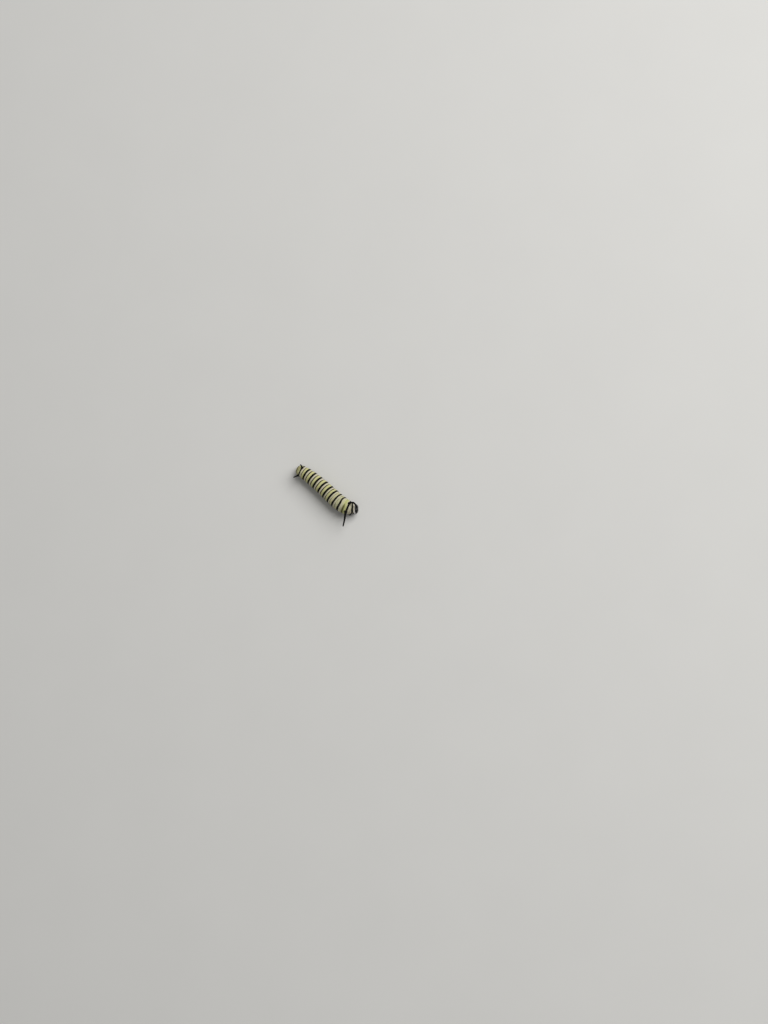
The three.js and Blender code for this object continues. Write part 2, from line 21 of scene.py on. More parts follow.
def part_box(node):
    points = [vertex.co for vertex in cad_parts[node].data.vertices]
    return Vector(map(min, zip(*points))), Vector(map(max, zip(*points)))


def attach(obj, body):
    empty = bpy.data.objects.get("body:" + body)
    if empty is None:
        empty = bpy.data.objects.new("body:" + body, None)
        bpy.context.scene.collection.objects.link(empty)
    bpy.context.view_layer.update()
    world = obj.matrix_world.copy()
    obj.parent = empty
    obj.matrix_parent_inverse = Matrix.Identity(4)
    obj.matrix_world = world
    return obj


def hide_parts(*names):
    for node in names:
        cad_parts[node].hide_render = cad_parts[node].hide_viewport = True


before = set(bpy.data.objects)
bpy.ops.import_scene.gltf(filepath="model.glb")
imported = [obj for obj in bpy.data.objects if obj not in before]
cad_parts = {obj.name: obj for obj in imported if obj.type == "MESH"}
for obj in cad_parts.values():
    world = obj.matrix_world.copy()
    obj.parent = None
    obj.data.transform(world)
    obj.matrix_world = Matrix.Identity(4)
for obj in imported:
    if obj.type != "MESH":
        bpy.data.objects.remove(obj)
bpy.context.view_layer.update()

MM = 0.001
BODY = "root"
log = logging.getLogger("larva")

Vert = bmesh.types.BMVert
Edge = bmesh.types.BMEdge
Ring = list[Vert]
Socket = bpy.types.NodeSocket
Value = float | Socket | tuple[float, ...]
Colour = tuple[float, float, float, float]
Amount = float | Vector
Pair = tuple[float, float]
Triple = tuple[float, float, float]
# A point of a skin, the direction out of it and the direction to the limb's end
SkinPoint = tuple[Vector, Vector, Vector]


class Side(Enum):
    """The two sides of the larva, with the sign of +Y that each has."""

    LEFT = 1
    RIGHT = -1

    @property
    def label(self) -> str:
        """The side's name as the nodes spell it."""
        return self.name.lower()

    def point(self, x: float, y: float, z: float) -> Vector:
        """A point of the left side, or its mirror image on the right."""
        return Vector((x, y * self.value, z))


class Slot(Enum):
    """The record's material slots that the finishes belong to."""

    SKIN = "banded_skin"
    CUTICLE = "black_cuticle"
    MOUTH = "pale_mouth"
    LENS = "eye_lens"


@dataclass(frozen=True)
class Segment:
    """One segment of the trunk: its length, and its sizes half way along it, in millimetres and degrees."""

    name: str
    length: float
    width: float
    height: float
    belly: float
    heading: float
    nod: float


SEGMENTS = (
    Segment("anal_segment", 0.55, 1.7, 1.56, 0.42, 15, 0),
    Segment("abdomen_8", 0.82, 1.82, 1.7, 0.42, 9.5, 0),
    Segment("abdomen_7", 1.02, 1.98, 1.84, 0.42, 4.5, 0),
    Segment("abdomen_6", 1.11, 2.1, 1.94, 0.4, 1.5, 0),
    Segment("abdomen_5", 1.1, 2.18, 2.02, 0.4, -0.5, 0),
    Segment("abdomen_4", 1.12, 2.23, 2.08, 0.4, -2.5, 0),
    Segment("abdomen_3", 1.14, 2.3, 2.14, 0.4, -4, 0),
    Segment("abdomen_2", 1.0, 2.38, 2.2, 0.4, -3.5, 0),
    Segment("abdomen_1", 0.87, 2.4, 2.2, 0.4, -1, 1),
    Segment("metathorax", 0.97, 2.42, 2.16, 0.42, 4.5, 4),
    Segment("mesothorax", 1.02, 2.24, 2.02, 0.44, 15, 11),
    Segment("prothorax", 0.42, 1.9, 1.76, 0.5, 27, 22),
)
NECK = Segment("neck", 0, 1.56, 1.5, 0.57, 35, 31)


def eased(share: float) -> float:
    """A share from 0 to 1, eased at both ends."""
    return share * share * (3 - 2 * share)


def ramp(value: float, low: float, high: float) -> float:
    """Eases a value from 0 at low to 1 at high."""
    return eased(min(1.0, max(0.0, (value - low) / (high - low))))


def bell(distance: float, spread: float) -> float:
    """A rounded hump of height 1 at distance 0, falling off at about the spread."""
    return exp(-((distance / spread) ** 2))


def waver(x: float, y: float, z: float) -> float:
    """Smooth noise from -1 to 1."""
    return noise.noise(Vector((x, y, z)))


def blend(first: float, second: float, share: float) -> float:
    """The value at a share of the way from the first number to the second."""
    return first + (second - first) * share


def glide(start: Amount, end: Amount, leaving: Amount, arriving: Amount, share: float) -> Amount:
    """The value at a share of a smooth way from start to end, with its slopes on leaving and arriving."""
    pull = (leaving * (1 - share) - arriving * share) * (share * (1 - share))
    return start + (end - start) * eased(share) + pull


def set_up(origin: Vector, first: Vector, second: Vector, third: Vector) -> Matrix:
    """The frame with the given origin and axes."""
    return Matrix.Translation(origin) @ Matrix((first, second, third)).transposed().to_4x4()


def show(name: str, data: bpy.types.ID) -> bpy.types.Object:
    """Adds a new object to the scene."""
    made = bpy.data.objects.new(name, data)
    bpy.context.scene.collection.objects.link(made)
    return made


@dataclass(frozen=True)
class Oval:
    """An oval in space: its middle, its two directions and its two half widths."""

    centre: Vector
    across: Vector
    over: Vector
    half_across: float
    half_over: float

    def point(self, turn: float) -> Vector:
        """The point of its edge at a turn, in radians."""
        across = self.across * self.half_across * cos(turn)
        return self.centre + across + self.over * self.half_over * sin(turn)

    def loop(self, sides: int) -> list[Vector]:
        """Points round its edge, by even turns."""
        return [self.point(tau * i / sides) for i in range(sides)]


@dataclass(frozen=True)
class Section:
    """A section across the trunk: its middle, its directions and its half sizes."""

    centre: Vector
    forward: Vector
    left: Vector
    up: Vector
    half_width: float
    half_height: float

    @property
    def ahead(self) -> Vector:
        """The direction ahead, level with the floor."""
        return Vector((self.left.y, -self.left.x, 0))

    def point(self, angle: float, grow: float = 0.0) -> Vector:
        """A point of the skin in this section.

        Args:
            angle: Degrees down from the top of the back, toward the left.
            grow: How far outside the skin the point lies.

        Returns:
            The point, in millimetres.
        """
        turn = radians(angle)
        ridge = 1 + Trunk.FLANK_RIDGE * bell(abs(angle) - Trunk.FLANK_ANGLE, Trunk.FLANK_SPREAD)
        rise = cos(turn)
        squared = -(abs(rise) ** Trunk.BELLY_SQUARENESS) if rise < 0 else rise
        across = (self.half_width * ridge + grow) * sin(turn)
        return self.centre + self.left * across + self.up * (self.half_height + grow) * squared


class Trunk:
    """The trunk's course from the tail to the neck, and the skin round it."""

    FOLD_DEPTH = 0.045
    FOLD_SHARPNESS = 4
    RING_DEPTH = 0.014
    RING_PLACES = (0.34, 0.68)
    RING_WIDTH = 0.06
    FLANK_RIDGE = 0.03
    FLANK_ANGLE = 115
    FLANK_SPREAD = 16
    BELLY_SQUARENESS = 0.82
    TAIL_ROUND = 0.82
    TAIL_TIP_HEIGHT = 0.5
    MIDLINE_STEP = 0.02
    # How far along, in millimetres, and round, in degrees, the skin's slope is measured
    SLOPE_ALONG = 0.01
    SLOPE_ROUND = 1

    def __init__(self) -> None:
        """Adds up the segments and draws the midline."""
        self.starts: dict[str, float] = {}
        self.knots: list[tuple[float, Segment]] = []
        self.length = 0.0
        for segment in SEGMENTS:
            self.starts[segment.name] = self.length
            self.knots.append((self.length + segment.length / 2, segment))
            self.length += segment.length
        self.knots.append((self.length, NECK))
        self.midline = self._draw_midline()

    def _draw_midline(self) -> list[Vector]:
        """The trunk's middle seen from above, as closely spaced points."""
        points = [Vector((0, 0, 0))]
        distance = 0.0
        while distance < self.length:
            heading = radians(self.along("heading", distance + self.MIDLINE_STEP / 2))
            points.append(points[-1] + Vector((cos(heading), sin(heading), 0)) * self.MIDLINE_STEP)
            distance += self.MIDLINE_STEP
        return points

    def along(self, size: str, distance: float) -> float:
        """One of the trunk's sizes, eased from segment to segment.

        Args:
            size: The name of a field of Segment.
            distance: Millimetres from the tail.

        Returns:
            The size there.
        """
        after = next((i for i, (at, _) in enumerate(self.knots) if at > distance), len(self.knots))
        if after == 0:
            return getattr(self.knots[0][1], size)
        if after == len(self.knots):
            return getattr(self.knots[-1][1], size)
        places = [self.knots[max(0, min(len(self.knots) - 1, after + step))] for step in (-2, -1, 0, 1)]
        before, start, end, beyond = [(at, getattr(segment, size)) for at, segment in places]
        span = end[0] - start[0]
        leaving = (end[1] - before[1]) / (end[0] - before[0]) * span
        arriving = (beyond[1] - start[1]) / (beyond[0] - start[0]) * span
        return glide(start[1], end[1], leaving, arriving, (distance - start[0]) / span)

    def tail_opening(self, distance: float) -> float:
        """How far the rounded tail has opened at a distance from its end, from 0 to 1."""
        short = max(0.0, 1 - distance / self.TAIL_ROUND)
        return sqrt(max(0.0, 1 - short * short))

    def place(self, name: str, fraction: float) -> float:
        """Where a fraction of a named segment lies, in millimetres from the tail."""
        segment = next(s for s in SEGMENTS if s.name == name)
        return self.starts[name] + segment.length * fraction

    def locate(self, distance: float) -> tuple[Segment, float]:
        """The segment at a distance from the tail, and the fraction of it that is passed."""
        for segment in reversed(SEGMENTS):
            start = self.starts[segment.name]
            if distance >= start:
                return segment, min(1.0, (distance - start) / segment.length)
        return SEGMENTS[0], 0.0

    def pinch(self, distance: float) -> float:
        """How the folds and rings pinch the trunk, as a factor on its section."""
        _, u = self.locate(distance)
        fold = self.FOLD_DEPTH * abs(2 * u - 1) ** self.FOLD_SHARPNESS
        rings = sum(bell(u - place, self.RING_WIDTH) for place in self.RING_PLACES)
        return 1 - fold - self.RING_DEPTH * rings

    def section(self, distance: float) -> Section:
        """The section across the trunk at a distance from the tail.

        Args:
            distance: Millimetres from the tail.

        Returns:
            The section.
        """
        heading = radians(self.along("heading", distance))
        nod = radians(self.along("nod", distance))
        ahead = Vector((cos(heading), sin(heading), 0))
        forward = ahead * cos(nod) - Vector((0, 0, sin(nod)))
        left = Vector((-ahead.y, ahead.x, 0))
        step = min(max(distance, 0) / self.MIDLINE_STEP, len(self.midline) - 1)
        index = min(int(step), len(self.midline) - 2)
        centre = self.midline[index].lerp(self.midline[index + 1], step - index)
        height = self.along("height", distance)
        opening = self.tail_opening(distance)
        centre.z = self.along("belly", distance) + height / 2 * blend(self.TAIL_TIP_HEIGHT, 1, opening)
        scale = self.pinch(distance) * opening
        half_width = self.along("width", distance) / 2 * scale
        return Section(centre, forward, left, forward.cross(left), half_width, height / 2 * scale)

    def outward(self, distance: float, angle: float) -> Vector:
        """The direction out of the skin at a place, as a unit vector."""
        here = self.section(distance).point(angle)
        ahead = self.section(distance + self.SLOPE_ALONG).point(angle) - here
        around = self.section(distance).point(angle + self.SLOPE_ROUND) - here
        return around.cross(ahead).normalized()


class Curve:
    """A smooth way through a few points, with an even pace from point to point."""

    SPACING_POWER = 0.25
    LEAST_GAP = 1e-6
    SAMPLES = 24
    SLOPE_SHARE = 0.01

    def __init__(self, *points: Vector) -> None:
        """Keeps the points, with one more mirrored past each end, and samples the way."""
        first = points[0] * 2 - points[1]
        last = points[-1] * 2 - points[-2]
        self.points = [first, *points, last]
        self.samples = self._sample()

    def _at(self, index: int, share: float) -> Vector:
        """The point at a share of the stretch that starts at the point with that index."""
        p0, p1, p2, p3 = self.points[index : index + 4]
        steps = [(b - a).length_squared for a, b in pairwise((p0, p1, p2, p3))]
        gap0, gap1, gap2 = [max(step**self.SPACING_POWER, self.LEAST_GAP) for step in steps]
        leaving = ((p1 - p0) / gap0 - (p2 - p0) / (gap0 + gap1) + (p2 - p1) / gap1) * gap1
        arriving = ((p2 - p1) / gap1 - (p3 - p1) / (gap1 + gap2) + (p3 - p2) / gap2) * gap1
        return glide(p1, p2, leaving, arriving, share)

    def _sample(self) -> list[tuple[float, Vector]]:
        """Points along the whole curve with the length reached at each."""
        samples: list[tuple[float, Vector]] = []
        for index in range(len(self.points) - 3):
            for step in range(self.SAMPLES + 1):
                point = self._at(index, step / self.SAMPLES)
                reached = samples[-1][0] + (point - samples[-1][1]).length if samples else 0.0
                samples.append((reached, point))
        return samples

    @property
    def length(self) -> float:
        """The curve's length."""
        return self.samples[-1][0]

    def point(self, share: float) -> Vector:
        """The point at a share of the curve's length."""
        wanted = share * self.length
        for (low, start), (high, end) in pairwise(self.samples):
            if high >= wanted and high > low:
                return start.lerp(end, (wanted - low) / (high - low))
        return self.samples[-1][1].copy()

    def direction(self, share: float) -> Vector:
        """The direction of the curve at a share of its length."""
        ahead, behind = min(1, share + self.SLOPE_SHARE), max(0, share - self.SLOPE_SHARE)
        return (self.point(ahead) - self.point(behind)).normalized()

    def ovals(
        self, shares: Iterable[float], across: Vector, radius: Callable[[float], float], flatten: float = 1.0
    ) -> list[Oval]:
        """Sections square to the curve, with no twist from one to the next.

        Args:
            shares: The shares of the curve's length that they stand at.
            across: About the way of the first half width.
            radius: Gives the first half width at a share.
            flatten: The other one, as a share of the first.

        Returns:
            The sections in order.
        """
        made = []
        for share in shares:
            ahead = self.direction(share)
            across = (across - ahead * across.dot(ahead)).normalized()
            half = radius(share)
            made.append(Oval(self.point(share), across, ahead.cross(across), half, half * flatten))
        return made


class Form:
    """A mesh in the making, shaped in millimetres with Blender's own operators."""

    def __init__(self, *layers: str) -> None:
        """Starts an empty mesh with the named number layers on its vertices."""
        self.bm = bmesh.new()
        self.layers: dict[str, bmesh.types.BMLayerItem] = {}
        self.add_layers(*layers)

    def add_layers(self, *names: str) -> None:
        """Adds number layers to the vertices."""
        for name in names:
            self.layers[name] = self.bm.verts.layers.float.new(name)

    def mark(self, verts: Iterable[Vert], **values: float) -> None:
        """Writes values into the vertices' number layers."""
        for vert in verts:
            for name, value in values.items():
                vert[self.layers[name]] = value

    def ring(self, points: Sequence[Vector]) -> Ring:
        """A closed loop of vertices at the given points."""
        made = bmesh.ops.create_circle(self.bm, segments=len(points), radius=1.0)["verts"]
        for vert, point in zip(made, points):
            vert.co = point
        return made

    def extrude(self, ring: Ring, points: Sequence[Vector]) -> Ring:
        """Extrudes a closed loop of vertices to new places.

        Args:
            ring: The loop, in order.
            points: Where each of its vertices goes.

        Returns:
            The new loop, in the same order.
        """
        edges = [self.bm.edges.get(ends) for ends in pairwise([*ring, ring[0]])]
        grown = bmesh.ops.extrude_edge_only(self.bm, edges=edges)["geom"]
        new = {item for item in grown if isinstance(item, Vert)}
        following = []
        for vert, point in zip(ring, points):
            following.append(next(e.other_vert(vert) for e in vert.link_edges if e.other_vert(vert) in new))
            following[-1].co = point
        return following

    def extrude_rim(self, edges: Sequence[Edge], move: Callable[[Vector], Vector]) -> list[Edge]:
        """Extrudes the edges of a hole, moves the new vertices and gives the new edges."""
        grown = bmesh.ops.extrude_edge_only(self.bm, edges=edges)["geom"]
        new = {item for item in grown if isinstance(item, Vert)}
        for vert in new:
            vert.co = move(vert.co)
        return [e for e in self.bm.edges if e.is_boundary and new.issuperset(e.verts)]

    def close(self, ring: Ring, tip: Vector | None = None) -> None:
        """Closes a loop with a fan of faces round its middle, or round a tip."""
        face = self.bm.faces.new(ring)
        fan = bmesh.ops.poke(self.bm, faces=[face])
        if tip is not None:
            fan["verts"][0].co = tip

    def loft(self, loops: Iterable[Sequence[Vector]], tip: Vector | None = None) -> list[Ring]:
        """Extrudes a loop of points through the next ones and closes both ends, the last round a tip."""
        rings: list[Ring] = []
        for points in loops:
            rings.append(self.extrude(rings[-1], points) if rings else self.ring(points))
        self.close(rings[0])
        self.close(rings[-1], tip)
        return rings

    def sweep(
        self, curve: Curve, radius: Callable[[float], float], steps: int, sides: int, flatten: float = 1.0
    ) -> list[Ring]:
        """Extrudes a section along a curve, by its radius at each share of the way, and closes both ends."""
        shares = [step / steps for step in range(steps + 1)]
        ovals = curve.ovals(shares, curve.direction(0).orthogonal(), radius, flatten)
        return self.loft(oval.loop(sides) for oval in ovals)

    def lathe(
        self, profile: Iterable[Pair], place: Matrix, sides: int, tip: float | None = None
    ) -> list[Ring]:
        """Turns a profile of radii and heights about the third axis of a place and closes both ends."""
        turned = [Oval(Vector((0, 0, z)), Vector((1, 0, 0)), Vector((0, 1, 0)), r, r) for r, z in profile]
        end = None if tip is None else place @ Vector((0, 0, tip))
        return self.loft(([place @ point for point in oval.loop(sides)] for oval in turned), end)

    def ball(self, radii: Triple, centre: Vector, sides: int, loops: int) -> Ring:
        """Adds an ellipsoid with the given half sizes and gives its vertices."""
        place = Matrix.Translation(centre) @ Matrix.Diagonal(radii).to_4x4()
        return bmesh.ops.create_uvsphere(
            self.bm, u_segments=sides, v_segments=loops, radius=1.0, matrix=place
        )["verts"]

    def moved(self, matrix: Matrix) -> Form:
        """The form itself, taken to another place by a matrix."""
        bmesh.ops.transform(self.bm, matrix=matrix, verts=self.bm.verts)
        return self

    def baked(self, name: str) -> bpy.types.Mesh:
        """A smooth mesh of the form with its faces outward, after which the form is used up."""
        for face in self.bm.faces:
            face.smooth = True
        bmesh.ops.recalc_face_normals(self.bm, faces=self.bm.faces)
        mesh = bpy.data.meshes.new(name)
        self.bm.to_mesh(mesh)
        self.bm.free()
        return mesh

    def smoothed(self) -> Form:
        """A finer form, subdivided once as a smooth surface, after which this one is used up."""
        mesh = self.baked("rough")
        rough = show("rough", mesh)
        modifier = rough.modifiers.new("smooth", "SUBSURF")
        modifier.levels = modifier.render_levels = 1
        evaluated = rough.evaluated_get(bpy.context.evaluated_depsgraph_get())
        finer = bpy.data.meshes.new_from_object(evaluated)
        form = Form()
        form.bm.from_mesh(finer)
        form.layers = {name: form.bm.verts.layers.float[name] for name in self.layers}
        bpy.data.objects.remove(rough)
        bpy.data.meshes.remove(mesh)
        bpy.data.meshes.remove(finer)
        return form


class Graph:
    """A material's nodes, with short calls to add and join them."""

    def __init__(self, name: str) -> None:
        """Starts a material with a principled shader and coordinates in millimetres."""
        self.material = bpy.data.materials.new(name)
        self.material.use_nodes = True
        self.tree = self.material.node_tree
        self.tree.nodes.clear()
        output = self.tree.nodes.new("ShaderNodeOutputMaterial")
        self.shader = self.tree.nodes.new("ShaderNodeBsdfPrincipled")
        self.tree.links.new(self.shader.outputs["BSDF"], output.inputs["Surface"])
        place = self.tree.nodes.new("ShaderNodeTexCoord")
        self.coordinates = self.stretched(place.outputs["Object"], (1 / MM, 1 / MM, 1 / MM))

    def put(self, socket: Socket, value: Value) -> None:
        """Joins a socket to another one, or sets its value."""
        if isinstance(value, bpy.types.NodeSocket):
            self.tree.links.new(value, socket)
        else:
            socket.default_value = value

    def add(self, kind: str, inputs: dict[str | int, Value], **settings: object) -> bpy.types.Node:
        """Adds a node.

        Args:
            kind: The node's type.
            inputs: Its inputs, by name or number.
            settings: Its other settings.

        Returns:
            The node.
        """
        node = self.tree.nodes.new(kind)
        for key, value in settings.items():
            setattr(node, key, value)
        for key, value in inputs.items():
            self.put(node.inputs[key], value)
        return node

    def shade(self, **inputs: Value) -> None:
        """Sets the shader's inputs, named with underscores for spaces."""
        for key, value in inputs.items():
            self.put(self.shader.inputs[key.replace("_", " ")], value)

    def math(self, operation: str, first: Value, second: Value = 0.0, third: Value = 0.0) -> Socket:
        """The result of a sum on numbers."""
        return self.add("ShaderNodeMath", {0: first, 1: second, 2: third}, operation=operation).outputs[0]

    def times(self, first: Value, second: Value) -> Socket:
        """The product of two numbers."""
        return self.math("MULTIPLY", first, second)

    def stretched(self, vector: Socket, scale: Triple) -> Socket:
        """Coordinates scaled along each axis."""
        return self.add("ShaderNodeMapping", {"Vector": vector, "Scale": scale}).outputs["Vector"]

    def layer(self, name: str) -> Socket:
        """A number layer of the piece's own vertices."""
        return self.add("ShaderNodeAttribute", {}, attribute_name=name).outputs["Fac"]

    def noise(self, scale: float, detail: float, vector: Socket | None = None) -> Socket:
        """Smooth noise, with features of about 1/scale millimetres."""
        inputs = {"Vector": vector or self.coordinates, "Scale": scale, "Detail": detail, "Roughness": 0.5}
        return self.add("ShaderNodeTexNoise", inputs).outputs["Fac"]

    def cells(self, scale: float) -> Socket:
        """The distance to the nearest of scattered points, about 1/scale millimetres apart."""
        inputs = {"Vector": self.coordinates, "Scale": scale}
        return self.add("ShaderNodeTexVoronoi", inputs).outputs["Distance"]

    def ease(self, value: Value, low: float, high: float) -> Socket:
        """A smooth rise from 0 at low to 1 at high."""
        inputs = {"Value": value, "From Min": low, "From Max": high}
        return self.add("ShaderNodeMapRange", inputs, interpolation_type="SMOOTHSTEP").outputs["Result"]

    def patches(self, scale: float, detail: float, low: float, high: float) -> Socket:
        """Soft patches of 1, where the noise is over high, on 0, where it is under low."""
        return self.ease(self.noise(scale, detail), low, high)

    def wobble(self, scale: float, reach: float, detail: float = 2.0) -> Socket:
        """Noise that runs either side of nothing by up to about the reach."""
        return self.times(self.math("SUBTRACT", self.noise(scale, detail), 0.5), 2 * reach)

    def drift(self, scale: float, detail: float, low: float, high: float) -> Socket:
        """A number that drifts between two numbers with the noise."""
        return self.math("MULTIPLY_ADD", self.noise(scale, detail), high - low, low)

    def inside(self, layer: str, soft: float, *wobbles: Socket) -> Socket:
        """Where an edge layer is inside its marking, whose edge is soft and wobbles, from 0 to 1."""
        edge = self.layer(layer)
        for wobble in wobbles:
            edge = self.math("ADD", edge, wobble)
        return self.ease(edge, -soft, soft)

    def mix(self, share: Value, first: Value, second: Value) -> Socket:
        """A colour between two colours."""
        node = self.tree.nodes.new("ShaderNodeMix")
        node.data_type = "RGBA"
        self.put(node.inputs["Factor"], share)
        for socket, value in zip([s for s in node.inputs if s.type == "RGBA"], (first, second)):
            self.put(socket, value)
        return next(s for s in node.outputs if s.type == "RGBA")

    def layered(self, base: Value, *coats: tuple[Value, Value]) -> Socket:
        """A colour with other colours laid over it, each given after its share."""
        for share, tone in coats:
            base = self.mix(share, base, tone)
        return base

    def relief(self, *heights: tuple[Socket, float]) -> Socket:
        """The normal of a surface with fine relief, each height scaled by a depth in millimetres."""
        total: Value = 0.0
        for height, depth in heights:
            total = self.math("MULTIPLY_ADD", height, depth, total)
        inputs = {"Height": total, "Strength": 1.0, "Distance": MM}
        return self.add("ShaderNodeBump", inputs).outputs["Normal"]


def colour(red: int, green: int, blue: int) -> Colour:
    """A screen colour from 0 to 255 as the shader's linear colour."""
    screen = (red / 255, green / 255, blue / 255)
    return (*(v / 12.92 if v <= 0.04045 else ((v + 0.055) / 1.055) ** 2.4 for v in screen), 1.0)


@dataclass(frozen=True)
class SkinFinish:
    """The soft banded skin: bands, thin lines and pale tones, set by the layers that Markings writes."""

    SLOT = Slot.SKIN
    white: Colour = colour(208, 203, 172)
    lilac: Colour = colour(205, 196, 179)
    yellow: Colour = colour(210, 207, 151)
    deep_yellow: Colour = colour(202, 197, 128)
    green: Colour = colour(186, 194, 118)
    grey: Colour = colour(184, 179, 155)
    black: Colour = colour(9, 8, 7)
    worn_black: Colour = colour(17, 15, 13)
    line: Colour = colour(44, 40, 15)
    speck: Colour = colour(88, 84, 44)
    shadow: Colour = colour(66, 64, 10)
    sole: Colour = colour(96, 78, 66)
    subsurface: float = 0.14
    subsurface_reach: float = 0.07
    # How much paler the tops of the skin's granules are
    pale_granule_tops: float = 0.16
    shadow_depth: float = 0.85
    speckles: float = 0.5
    speckled_tail: Pair = (0.75, 0.5)
    black_roughness: float = 0.22
    wrinkle_stretch: Triple = (22.0, 4.0, 4.0)
    crease_spacing: float = 0.16
    crease_swing: float = 0.22
    creased_from: Pair = (0.2, 0.6)

    def build(self) -> bpy.types.Material:
        """The material."""
        graph = Graph("banded skin")
        grain = graph.cells(20)
        black = graph.inside("black_edge", 0.012, graph.wobble(3.5, 0.035, 3), graph.wobble(16, 0.012))
        rough = graph.math("MULTIPLY_ADD", black, self.black_roughness, graph.drift(11, 2, 0.38, 0.54))
        graph.shade(Base_Color=self._tone(graph, grain, black), Roughness=rough)
        graph.shade(Normal=self._relief(graph, grain))
        graph.shade(Subsurface_Weight=self.subsurface, Subsurface_Scale=self.subsurface_reach * MM)
        graph.shade(Subsurface_Radius=(1.0, 0.7, 0.4), Specular_IOR_Level=0.1)
        return graph.material

    def _tone(self, graph: Graph, grain: Socket, black: Socket) -> Socket:
        """The skin's colour, from the pale tones up to the black, which lies where its share says."""
        tail = graph.times(graph.ease(graph.layer("distance"), *self.speckled_tail), self.speckles)
        white = graph.mix(graph.patches(2.2, 4, 0.35, 0.7), self.white, self.lilac)
        yellow = graph.mix(graph.patches(7, 3, 0.42, 0.75), self.yellow, self.deep_yellow)
        dark = graph.mix(graph.patches(9, 3, 0.45, 0.8), self.black, self.worn_black)
        return graph.layered(
            white,
            (graph.layer("warmth"), yellow),
            (graph.layer("greenness"), self.green),
            (graph.layer("greyness"), self.grey),
            # The tops of the skin's granules are paler
            (graph.times(graph.ease(grain, 0.5, 0.1), self.pale_granule_tops), self.white),
            (graph.times(graph.patches(7, 4, 0.5, 0.62), tail), self.speck),
            (graph.times(graph.layer("shade"), self.shadow_depth), self.shadow),
            (graph.inside("line_edge", 0.014, graph.wobble(5, 0.03), graph.wobble(20, 0.02)), self.line),
            (black, dark),
            (graph.layer("sole"), self.sole),
            (graph.inside("spot_edge", 0.01, graph.wobble(6, 0.09), graph.wobble(20, 0.015)), self.white),
        )

    def _relief(self, graph: Graph, grain: Socket) -> Socket:
        """Fine wrinkles and creases that run round the trunk, and the skin's grain."""
        distance = graph.layer("distance")
        place = {"X": distance, "Y": graph.layer("cosine"), "Z": graph.layer("sine")}
        around = graph.add("ShaderNodeCombineXYZ", place).outputs[0]
        wrinkles = graph.noise(1.0, 2, graph.stretched(around, self.wrinkle_stretch))
        swung = graph.math("MULTIPLY_ADD", graph.noise(1.3, 2), self.crease_swing, distance)
        wave = graph.math("ABSOLUTE", graph.math("SINE", graph.times(swung, pi / self.crease_spacing)))
        creases = graph.times(graph.ease(wave, 0.0, 0.55), graph.ease(distance, *self.creased_from))
        return graph.relief((wrinkles, 0.014), (creases, 0.012), (grain, -0.008), (graph.noise(55, 2), 0.003))


@dataclass(frozen=True)
class CuticleFinish:
    """Hard polished shell, dark or with pale stripes where the head's markings are."""

    SLOT = Slot.CUTICLE
    name: str = "black cuticle"
    dark: Colour = colour(9, 8, 8)
    brown: Colour = colour(48, 28, 18)
    stripe: Colour = colour(224, 219, 217)
    stripe_shade: Colour = colour(208, 201, 182)
    striped: bool = False

    def build(self) -> bpy.types.Material:
        """The material."""
        graph = Graph(self.name)
        tone = graph.mix(graph.layer("paleness"), self.dark, self.brown)
        if self.striped:
            stripe = graph.mix(graph.patches(4, 3, 0.4, 0.7), self.stripe, self.stripe_shade)
            tone = graph.mix(graph.inside("stripe_edge", 0.012, graph.wobble(6, 0.02, 3)), tone, stripe)
        normal = graph.relief((graph.cells(13), 0.004), (graph.noise(30, 3), 0.003))
        graph.shade(Base_Color=tone, Roughness=graph.drift(7, 3, 0.2, 0.36), Normal=normal)
        graph.shade(Specular_IOR_Level=0.35, Coat_Weight=0.12, Coat_Roughness=0.15)
        return graph.material


@dataclass(frozen=True)
class MouthFinish:
    """The pale, half soft shell of the lips and palps."""

    SLOT = Slot.MOUTH
    pale: Colour = colour(168, 155, 124)
    stained: Colour = colour(58, 40, 27)
    subsurface_reach: float = 0.08

    def build(self) -> bpy.types.Material:
        """The material."""
        graph = Graph("pale mouth")
        stain = graph.ease(graph.math("ADD", graph.layer("paleness"), graph.wobble(9, 0.25, 3)), 0.3, 0.9)
        normal = graph.relief((graph.noise(28, 3), 0.004), (graph.cells(16), 0.004))
        tone = graph.mix(stain, self.pale, self.stained)
        graph.shade(Base_Color=tone, Roughness=graph.drift(12, 2, 0.3, 0.5), Normal=normal)
        graph.shade(Subsurface_Weight=0.25, Subsurface_Scale=self.subsurface_reach * MM)
        graph.shade(Subsurface_Radius=(1.0, 0.6, 0.35))
        return graph.material


@dataclass(frozen=True)
class LensFinish:
    """The glassy lenses of the simple eyes."""

    SLOT = Slot.LENS
    deep: Colour = colour(10, 7, 6)
    amber: Colour = colour(64, 34, 14)

    def build(self) -> bpy.types.Material:
        """The material."""
        graph = Graph("eye lens")
        tone = graph.mix(graph.patches(14, 2, 0.5, 0.8), self.deep, self.amber)
        graph.shade(Base_Color=tone, Roughness=graph.drift(20, 1, 0.04, 0.1), Specular_IOR_Level=0.6)
        graph.shade(Coat_Weight=0.6, Coat_Roughness=0.03)
        return graph.material


@dataclass(frozen=True)
class BristleFinish:
    """The fine black bristles, browner at their tips."""

    SLOT = Slot.CUTICLE
    root: Colour = colour(12, 10, 10)
    tip: Colour = colour(70, 52, 40)

    def build(self) -> bpy.types.Material:
        """The material."""
        graph = Graph("bristle")
        tone = graph.mix(graph.ease(graph.layer("paleness"), 0.3, 1.0), self.root, self.tip)
        graph.shade(Base_Color=tone, Roughness=graph.drift(15, 2, 0.3, 0.5))
        return graph.material


Finish = SkinFinish | CuticleFinish | MouthFinish | LensFinish | BristleFinish


